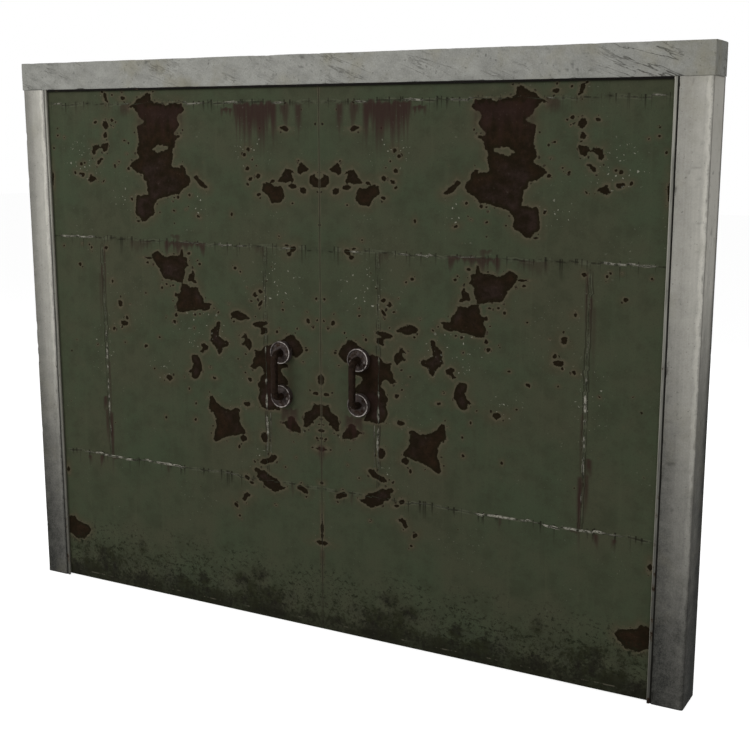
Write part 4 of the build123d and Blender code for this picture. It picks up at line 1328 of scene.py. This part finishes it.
    # Painted shade: the top of the leaf under the head stop is darkened.
    shade_under_head_stop = step_between(tree, rise, HEAD_EDGE - 0.005, HEAD_EDGE)
    colour = blend(tree, times(tree, shade_under_head_stop, 0.5), colour, linear(22, 21, 16))
    # Cut edges made pale: partly wear, partly painted light against the shade of the narrow gaps.
    colour = blend(tree, times(tree, step_between(tree, field(tree, "edge"), 0.02, 0.2), 0.8), colour,
                   linear(128, 124, 108))

    roughness = maths(tree, "ADD", times(tree, rusted["Rust"], 0.25),
                      maths(tree, "ADD", times(tree, mottle, 0.2), 0.55), clamp=True)
    height = maths(tree, "ADD", rusted["Height"], times(tree, grain, 0.25))
    wire(tree, shader, colour, roughness, height, strength=0.5, distance=0.0012)
    return material


def leaf_steel(name, rust_group, speck_group, cover):
    """The leaf's unseen steel: thin olive primer over rust, which takes more of the face as cover falls."""
    material, tree, position, shader = new_material(name, 0.2)
    broad = noise(tree, position, 3.0, 5, 0.6)
    coat = blend(tree, step_between(tree, broad, 0.35, 0.65), linear(72, 72, 57), linear(58, 61, 48))
    runs = noise(tree, stretched(tree, position, 26, 26, 1.4), 1.0, 5, 0.62)
    coat = blend(tree, times(tree, step_between(tree, runs, 0.48, 0.72), 0.6), coat, linear(66, 50, 38))
    specks = place_group(tree, speck_group, {
        "Position": position, "Fineness": 105.0, "Cover": 0.66, "Drift": 5.0})
    coat = blend(tree, specks["Mask"], coat, linear(36, 26, 19))
    patch = noise(tree, position, 7.5, 8, 0.62)
    depth = times(tree, maths(tree, "SUBTRACT", patch, cover), 0.12)
    rusted = place_group(tree, rust_group, {
        "Position": position, "Coat": coat, "Depth": depth, "Fray": 0.016, "Rust dark": linear(40, 27, 19),
        "Rust light": linear(72, 47, 32), "Rim": linear(96, 76, 55), "Rim width": 0.008})
    roughness = maths(tree, "ADD", times(tree, rusted["Rust"], 0.3), 0.55)
    wire(tree, shader, rusted["Color"], roughness, rusted["Height"], strength=0.5, distance=0.0010)
    return material


def weld_steel(speck_group):
    """Weld beads: olive and soot on the flanks, the crest worn to pale grey in stretches, often doubled."""
    material, tree, position, shader = new_material("weathered weld", 0.05)
    tone = noise(tree, position, 60, 5, 0.65)
    colour = blend(tree, step_between(tree, tone, 0.36, 0.66), linear(38, 37, 29), linear(58, 61, 47))
    crest = field(tree, "crest")
    split = patches(tree, position, 14, 3, 0.6, 0.46, 0.56)
    split = times(tree, step_between(tree, crest, 0.86, 0.97), split)
    ridge = times(tree, step_between(tree, crest, 0.32, 0.68), one_less(tree, split))
    worn = patches(tree, position, 45, 6, 0.70, 0.38, 0.58)
    colour = blend(tree, times(tree, ridge, field(tree, "pale"), worn), colour, linear(158, 155, 142))
    cracks = patches(tree, position, 90, 4, 0.7, 0.57, 0.66)
    colour = blend(tree, times(tree, cracks, 0.75), colour, linear(26, 23, 18))
    specks = place_group(tree, speck_group, {
        "Position": position, "Fineness": 150.0, "Cover": 0.66, "Drift": 9.0})
    colour = blend(tree, times(tree, specks["Mask"], 0.6), colour, linear(150, 148, 136))
    roughness = maths(tree, "ADD", times(tree, tone, 0.3), 0.5)
    wire(tree, shader, colour, roughness, tone, strength=0.5, distance=0.0008)
    return material


def build_concrete_group():
    """Cast concrete: a tone between two colours, clouded, sanded, with dark pores, and its height."""
    group, inside, outside = new_group(
        "cast concrete",
        {"Position": (VECTOR, None), "Light": (COLOUR, None), "Dark": (COLOUR, None), "Tone": (FLOAT, 0.5),
         "Cloud": (FLOAT, 0.3), "Pit": (FLOAT, 0.0), "Stain": (COLOUR, None), "Stain amount": (FLOAT, 0.3)},
        {"Color": COLOUR, "Roughness": FLOAT, "Height": FLOAT},
    )
    position = inside.outputs["Position"]
    cloud = swing(group, position, 13, 9, 0.7)
    sand = swing(group, position, 170, 5, 0.75)
    tone = maths(group, "ADD", inside.outputs["Tone"], times(group, cloud, inside.outputs["Cloud"]))
    tone = maths(group, "ADD", tone, times(group, sand, inside.outputs["Cloud"]), clamp=True)
    colour = blend(group, tone, inside.outputs["Dark"], inside.outputs["Light"])
    stain = patches(group, position, 5.5, 6, 0.6, 0.50, 0.72)
    stained = times(group, stain, inside.outputs["Stain amount"])
    colour = blend(group, stained, colour, inside.outputs["Stain"])
    pores = patches(group, position, 95, 3, 0.55, 0.66, 0.72)
    hole = maths(group, "MAXIMUM", times(group, pores, 0.4), times(group, inside.outputs["Pit"], 0.6))
    colour = blend(group, hole, colour, linear(44, 43, 38))
    roughness = maths(group, "ADD", times(group, cloud, 0.2), 0.85)
    height = maths(group, "ADD", times(group, sand, 0.7), cloud)
    height = maths(group, "SUBTRACT", height, times(group, pores, 0.8))
    group.links.new(colour, outside.inputs["Color"])
    group.links.new(roughness, outside.inputs["Roughness"])
    group.links.new(height, outside.inputs["Height"])
    return group


def jamb_concrete(concrete_group, grime_group):
    """Post concrete: pale at the top, dark at the foot, with a painted highlight band and painted shade on
    its faces.
    """
    material, tree, position, shader = new_material("jamb concrete", 0.05)
    parts = add(tree, "ShaderNodeSeparateXYZ", {0: position})
    sway = times(tree, swing(tree, position, 2.1, 4, 0.6), 0.22)
    rise = maths(tree, "ADD", maths(tree, "DIVIDE", parts.outputs["Z"], LEFT_JAMB[1].z), sway)
    tone = ramp(tree, rise, [
        (0.0, 0.085), (0.12, 0.115), (0.28, 0.24), (0.50, 0.49), (0.75, 0.60), (1.0, 0.62)])
    ragged = swing(tree, stretched(tree, position, 30, 30, 12), 1.0, 8, 0.75)
    across = maths(tree, "ADD", times(tree, field(tree, "across"), 0.5),
                   maths(tree, "ADD", 0.5, times(tree, ragged, 0.50)))
    # Painted highlight and shade: a bright band near the right of each face, as light on a rounded corner,
    # and a darker left edge.
    wear_and_highlight = ramp(tree, across, [
        (0.0, 0.75), (0.08, 0.88), (0.30, 0.90), (0.55, 1.02), (0.79, 1.12), (0.86, 1.38), (0.92, 1.46),
        (0.96, 1.05), (1.0, 0.95)])
    streak = swing(tree, stretched(tree, position, 75, 75, 2.0), 1.0, 7, 0.65)
    # Painted shade: the faces darken towards the back, starting further forward low down, less on the back
    # face.
    start = add(tree, "ShaderNodeMapRange", {
        "Value": rise, "From Min": 0.0, "From Max": 0.8, "To Min": FRONT_Y + 0.01, "To Max": 0.045})
    depth = add(tree, "ShaderNodeMapRange", {
        "Value": parts.outputs["Y"], "From Min": start.outputs["Result"], "From Max": 0.080},
        interpolation_type="SMOOTHSTEP").outputs["Result"]
    back = step_between(tree, parts.outputs["Y"], -FRONT_Y - 0.004, -FRONT_Y - 0.0012)
    shade = times(tree, depth, maths(tree, "SUBTRACT", 0.92, times(tree, back, 0.5)))
    tone = times(tree, tone, wear_and_highlight, maths(tree, "ADD", 1.0, times(tree, streak, 0.45)))
    tone = times(tree, tone, one_less(tree, shade))
    # Painted light and shade on the right side faces: brighter high up, darker low down.
    outer_side = step_between(tree, field(tree, "across"), 0.985, 0.998)
    side_light_high_up = add(tree, "ShaderNodeMapRange", {
        "Value": rise, "From Min": 0.45, "From Max": 0.95, "To Min": 0.0, "To Max": 0.90}).outputs["Result"]
    tone = times(tree, tone, maths(tree, "ADD", 1.0, times(tree, outer_side, side_light_high_up)))
    side_shade_low_down = times(tree, outer_side, step_between(tree, rise, 0.78, 0.42), 0.42)
    tone = times(tree, tone, one_less(tree, side_shade_low_down))
    # Painted shade on the left of the faces: up the whole left post, and low down on both posts.
    left_post = step_between(tree, parts.outputs["X"], CENTRE_X, CENTRE_X - 0.1)
    shaded = maths(tree, "MAXIMUM", times(tree, left_post, 0.42),
                   times(tree, step_between(tree, rise, 0.75, 0.35), 0.40))
    turned = times(tree, shaded, step_between(tree, field(tree, "across"), 0.3, -0.95))
    tone = times(tree, tone, maths(tree, "SUBTRACT", 1.08, turned))
    arris = apart(tree, field(tree, "across"), 0.975)
    line = times(tree, step_between(tree, arris, 0.014, 0.004), 0.45)
    tone = times(tree, tone, one_less(tree, line))
    made = place_group(tree, concrete_group, {
        "Position": position, "Light": linear(207, 204, 194), "Dark": linear(38, 39, 37), "Tone": tone,
        "Cloud": 0.30, "Pit": field(tree, "pit"), "Stain": linear(134, 129, 108), "Stain amount": 0.20})
    grime = place_group(tree, grime_group, {"Position": position, "Height": parts.outputs["Z"], "Reach": 0.5})
    colour = blend(tree, times(tree, grime["Mask"], 0.2), made["Color"], linear(40, 41, 38))
    wire(tree, shader, colour, made["Roughness"], made["Height"], strength=0.45, distance=0.0013)
    return material


def lintel_concrete(concrete_group):
    """Beam concrete: rougher and greyer than the posts, scored on a slant, with beige stains."""
    material, tree, position, shader = new_material("lintel concrete", 0.05)
    along = maths(tree, "DIVIDE", add(tree, "ShaderNodeSeparateXYZ", {0: position}).outputs["X"], LINTEL[1].x)
    slope = (0, math.radians(-22), 0)
    slanted = add(tree, "ShaderNodeMapping", {"Vector": position, "Rotation": slope}).outputs[0]
    worn = noise(tree, stretched(tree, slanted, 5, 12, 15), 1.0, 9, 0.7)
    tone = maths(tree, "ADD", ramp(tree, along, [(0.0, 0.56), (0.25, 0.60), (0.55, 0.62), (1.0, 0.60)]),
                 times(tree, maths(tree, "SUBTRACT", worn, 0.5), 0.6))
    made = place_group(tree, concrete_group, {
        "Position": position, "Light": linear(184, 184, 177), "Dark": linear(70, 70, 65), "Tone": tone,
        "Cloud": 0.58, "Pit": field(tree, "pit"), "Stain": linear(138, 132, 106), "Stain amount": 0.40})
    drifts = times(tree, patches(tree, position, 3.4, 4, 0.62, 0.46, 0.62), 0.6)
    drifts = maths(tree, "MAXIMUM", drifts, step_between(tree, along, 0.84, 0.92))
    scored = noise(tree, stretched(tree, slanted, 2.6, 30, 24), 1.0, 5, 0.58)
    line = step_between(tree, apart(tree, scored, 0.5), 0.013, 0.003)
    broken = patches(tree, position, 5, 4, 0.6, 0.43, 0.55)
    score = times(tree, line, drifts, broken)
    colour = blend(tree, times(tree, score, 0.75), made["Color"], linear(66, 64, 57))
    crease = times(tree, step_between(tree, field(tree, "crease"), 0.3, 0.9), 0.30)
    colour = blend(tree, crease, colour, linear(92, 90, 81))
    height = maths(tree, "SUBTRACT", made["Height"], times(tree, score, 1.2))
    wire(tree, shader, colour, made["Roughness"], height, strength=0.75, distance=0.0022)
    return material


def stop_paint(rust_group, name, light, dark, cover):
    """Painted steel bar: a worn coat, paler towards the top, rusted in spots, with painted shade along its
    outer edge and painted light on its side towards the opening.
    """
    material, tree, position, shader = new_material(name, 0.05)
    streak = noise(tree, stretched(tree, position, 80, 80, 3.2), 1.0, 6, 0.65)
    parts = add(tree, "ShaderNodeSeparateXYZ", {0: position})
    rise = maths(tree, "DIVIDE", parts.outputs["Z"], LEFT_JAMB[1].z)
    tone = ramp(tree, rise, [(0.0, 0.12), (0.2, 0.25), (0.5, 0.6), (1.0, 1.0)])
    coat = blend(tree, times(tree, tone, step_between(tree, streak, 0.20, 0.62)), dark, light)
    patch = noise(tree, position, 21, 7, 0.66)
    sound = maths(tree, "ADD", cover, times(tree, rise, 0.1))
    depth = times(tree, maths(tree, "SUBTRACT", patch, sound), 0.05)
    rusted = place_group(tree, rust_group, {
        "Position": position, "Coat": coat, "Depth": depth, "Fray": 0.008, "Rust dark": linear(34, 25, 19),
        "Rust light": linear(52, 38, 28), "Rim": linear(70, 60, 46), "Rim width": 0.004})
    from_centre = apart(tree, parts.outputs["X"], CENTRE_X)
    # Painted shade: a dark strip along the outer edge, next to the concrete.
    outer_edge_shade = step_between(tree, from_centre, REVEAL - 0.0068, REVEAL - 0.0058)
    colour = blend(tree, outer_edge_shade, rusted["Color"], linear(28, 27, 24))
    # Painted light: the side face towards the opening is made pale, more so higher up, to offset the shade it
    # lies in.
    side_face_light = apart(tree, from_centre, STOP_EDGE)
    side_face_light = step_between(tree, side_face_light, 0.0025, 0.0005)
    side_face_light = times(tree, side_face_light, maths(tree, "ADD", 0.3, tone, clamp=True))
    colour = blend(tree, side_face_light, colour, linear(170, 167, 155))
    roughness = maths(tree, "ADD", times(tree, streak, 0.3), 0.5)
    wire(tree, shader, colour, roughness, rusted["Height"], strength=0.4, distance=0.0008)
    return material


def forged_iron(name, rust_group, dark, light, bare, worn, shine):
    """Forged iron: scale clouded with rust, bare metal where the piece marks it: wear, and on the bosses'
    rims also painted highlight.
    """
    material, tree, position, shader = new_material(name, shine)
    cloud = noise(tree, position, 42, 8, 0.7)
    coat = blend(tree, step_between(tree, cloud, 0.34, 0.66), dark, light)
    patch = noise(tree, position, 48, 6, 0.66)
    depth = times(tree, maths(tree, "SUBTRACT", patch, 0.58), 0.03)
    rusted = place_group(tree, rust_group, {
        "Position": position, "Coat": coat, "Depth": depth, "Fray": 0.006, "Rust dark": linear(27, 18, 12),
        "Rust light": linear(46, 30, 21), "Rim": linear(52, 41, 33), "Rim width": 0.004})
    wear_and_highlight = times(tree, worn(tree), patches(tree, position, 55, 6, 0.70, 0.34, 0.58))
    colour = blend(tree, wear_and_highlight, rusted["Color"], bare)
    roughness = maths(tree, "ADD", times(tree, cloud, 0.25), 0.55)
    roughness = maths(tree, "SUBTRACT", roughness, times(tree, wear_and_highlight, 0.15))
    wire(tree, shader, colour, roughness, rusted["Height"], strength=0.5, distance=0.0006)
    return material


def marked_wear_and_highlight(tree):
    """Wear that the piece carries at its points, with painted highlight on the bosses' rims."""
    return field(tree, "worn")


def worn_in_clouds(tree):
    """Wear in soft clouds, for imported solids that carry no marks."""
    position = add(tree, "ShaderNodeTexCoord").outputs["Object"]
    return times(tree, patches(tree, position, 26, 5, 0.6, 0.48, 0.70), 0.6)


def dress_node(node, material):
    """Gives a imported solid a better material."""
    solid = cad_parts[node]
    if not solid.material_slots:
        solid.data.materials.append(material)
    for place in solid.material_slots:
        place.material = material


# Finishes
rust_group = build_rust_group()
chip_group = build_chip_group()
speck_group = build_speck_group()
grime_group = build_grime_group()
concrete_group = build_concrete_group()
paint = leaf_paint(rust_group, chip_group, speck_group, grime_group)
sheet_back = leaf_steel("sheet back", rust_group, speck_group, cover=0.58)
frame_steel = leaf_steel("leaf frame steel", rust_group, speck_group, cover=0.52)
weld = weld_steel(speck_group)
jamb_finish = jamb_concrete(concrete_group, grime_group)
lintel_finish = lintel_concrete(concrete_group)
stop_finish = stop_paint(rust_group, "stop paint", linear(165, 164, 154), linear(54, 54, 50), cover=0.62)
# Near-black coat on the head stop: painted shade, so that it reads as the dark line under the lintel.
head_stop_shade = stop_paint(rust_group, "head stop painted shade", linear(20, 18, 15), linear(14, 13, 11), cover=0.60)
bar_iron = forged_iron(
    "pull bar iron", rust_group, linear(22, 16, 12), linear(32, 24, 18), linear(40, 30, 24),
    marked_wear_and_highlight, shine=0.03)
# Near-white bare metal on the bosses: on the rims it is painted highlight as well as wear.
boss_iron = forged_iron(
    "pull boss iron", rust_group, linear(42, 36, 34), linear(84, 76, 73), linear(196, 188, 182),
    marked_wear_and_highlight, shine=0.08)
screw_iron = forged_iron(
    "screw iron", rust_group, linear(50, 44, 41), linear(92, 84, 80), linear(140, 133, 127),
    marked_wear_and_highlight, shine=0.10)
hinge_steel = forged_iron(
    "hinge steel", rust_group, linear(66, 59, 52), linear(100, 92, 83), linear(140, 133, 125),
    worn_in_clouds, shine=0.25)
bolt_steel = forged_iron(
    "bolt steel", rust_group, linear(58, 50, 44), linear(96, 87, 78), linear(140, 133, 125),
    marked_wear_and_highlight, shine=0.25)

# Pieces
make_lintel(lintel_finish)
dress_node("head_stop", head_stop_shade)
for side_name in SIDES:
    make_jamb(side_name, jamb_finish)
    dress_node(f"{side_name}_stop", stop_finish)
    dress_node(f"{side_name}_jamb_hinges", hinge_steel)
    dress_node(f"{side_name}_leaf_hinges", hinge_steel)
    make_jamb_bolts(side_name, bolt_steel)
    for sheet in SHEETS:
        make_sheet(side_name, sheet, paint, sheet_back)
    make_beads(side_name, weld)
    make_stitches(side_name, frame_steel)
    for member in ("hinge_stile", "meeting_stile", "top_rail", "bottom_rail", "upper_rail", "lower_rail",
                   "outer_stiffener", "inner_stiffener"):
        dress_node(f"{side_name}_{member}", frame_steel)
    make_pull(side_name, bar_iron)
    make_rosettes(side_name, boss_iron, screw_iron)

# Floor, light and camera
FLOOR_REACH = 30.0


def make_floor():
    """A wide pale floor at ground level that shows white to the camera and still takes the door's shadow."""
    corner = FLOOR_REACH
    corners = [(-corner, -corner, 0), (corner, -corner, 0), (corner, corner, 0), (-corner, corner, 0)]
    upward = np.array([0.0, 0.0, 1.0])
    points, faces = np.array(corners, float), np.array([[0, 1, 2, 3]])
    floor = make_piece("floor", points, faces, facing=upward, smooth=False)
    material = bpy.data.materials.new("pale floor")
    material.use_nodes = True
    tree = material.node_tree
    tree.nodes.clear()
    diffuse = add(tree, "ShaderNodeBsdfDiffuse", {"Color": (0.6, 0.6, 0.6, 1)})
    glow = add(tree, "ShaderNodeEmission", {"Color": (1, 1, 1, 1), "Strength": 0.80})
    both = add(tree, "ShaderNodeAddShader", {0: diffuse.outputs[0], 1: glow.outputs[0]})
    path = add(tree, "ShaderNodeLightPath")
    seen = maths(tree, "MAXIMUM", path.outputs["Is Camera Ray"], path.outputs["Is Glossy Ray"])
    seen = maths(tree, "MAXIMUM", seen, path.outputs["Is Transmission Ray"])
    shown = add(tree, "ShaderNodeMixShader", {0: seen, 1: diffuse.outputs[0], 2: both.outputs[0]})
    add(tree, "ShaderNodeOutputMaterial", {"Surface": shown.outputs[0]})
    floor.data.materials.append(material)


def make_world():
    """Even studio light all round, white to the camera and in reflections."""
    world = bpy.data.worlds.new("studio")
    bpy.context.scene.world = world
    world.use_nodes = True
    tree = world.node_tree
    tree.nodes.clear()
    lit = add(tree, "ShaderNodeBackground", {"Color": (1, 1, 1, 1), "Strength": 0.30})
    white = add(tree, "ShaderNodeBackground", {"Color": (1, 1, 1, 1), "Strength": 1.0})
    path = add(tree, "ShaderNodeLightPath")
    seen = maths(tree, "MAXIMUM", path.outputs["Is Camera Ray"], path.outputs["Is Transmission Ray"])
    seen = maths(tree, "MAXIMUM", seen, path.outputs["Is Glossy Ray"])
    shown = add(tree, "ShaderNodeMixShader", {0: seen, 1: lit.outputs[0], 2: white.outputs[0]})
    add(tree, "ShaderNodeOutputWorld", {"Surface": shown.outputs[0]})


def make_lamp(name, place, target, size, power):
    """A square soft lamp at a place, turned to face a target."""
    lamp = bpy.data.lights.new(name, "AREA")
    lamp.shape = "SQUARE"
    lamp.size = size
    lamp.energy = power
    holder = bpy.data.objects.new(name, lamp)
    holder.location = place
    holder.rotation_euler = (Vector(target) - Vector(place)).to_track_quat("-Z", "Y").to_euler()
    bpy.context.scene.collection.objects.link(holder)


# The photograph's viewpoint, solved from the frame's edges: in heights of the frame, from its foot's middle
VIEW_HEIGHTS = (1.07863, -1.76589, 0.87168)
VIEW_AZIMUTH = 28.770
VIEW_DROP = 11.117
FOCAL_PIXELS = 1229.76
IMAGE_PIXELS = 750
SENSOR = 36.0


def make_camera():
    """The camera at the photograph's viewpoint, with its lens from the focal length in pixels."""
    tall = LINTEL[1].z
    camera = bpy.data.cameras.new("photo view")
    camera.sensor_width = SENSOR
    camera.lens = SENSOR * FOCAL_PIXELS / IMAGE_PIXELS
    camera.clip_end = 200
    holder = bpy.data.objects.new("photo view", camera)
    holder.location = Vector((CENTRE_X, FRONT_Y, 0)) + tall * Vector(VIEW_HEIGHTS)
    holder.rotation_euler = (math.radians(90 - VIEW_DROP), 0, math.radians(VIEW_AZIMUTH))
    bpy.context.scene.collection.objects.link(holder)
    bpy.context.scene.camera = holder


make_floor()
make_world()
MIDDLE = (CENTRE_X, 0, 1.25)
make_lamp("key", (CENTRE_X - 3.2, -5.5, 4.6), MIDDLE, size=4.0, power=230)
make_lamp("fill", (CENTRE_X + 4.0, -5.0, 3.0), MIDDLE, size=4.0, power=65)
make_lamp("back", (CENTRE_X + 1.0, 6.0, 4.5), MIDDLE, size=5.0, power=210)
make_camera()
bpy.context.scene.view_settings.view_transform = "Standard"
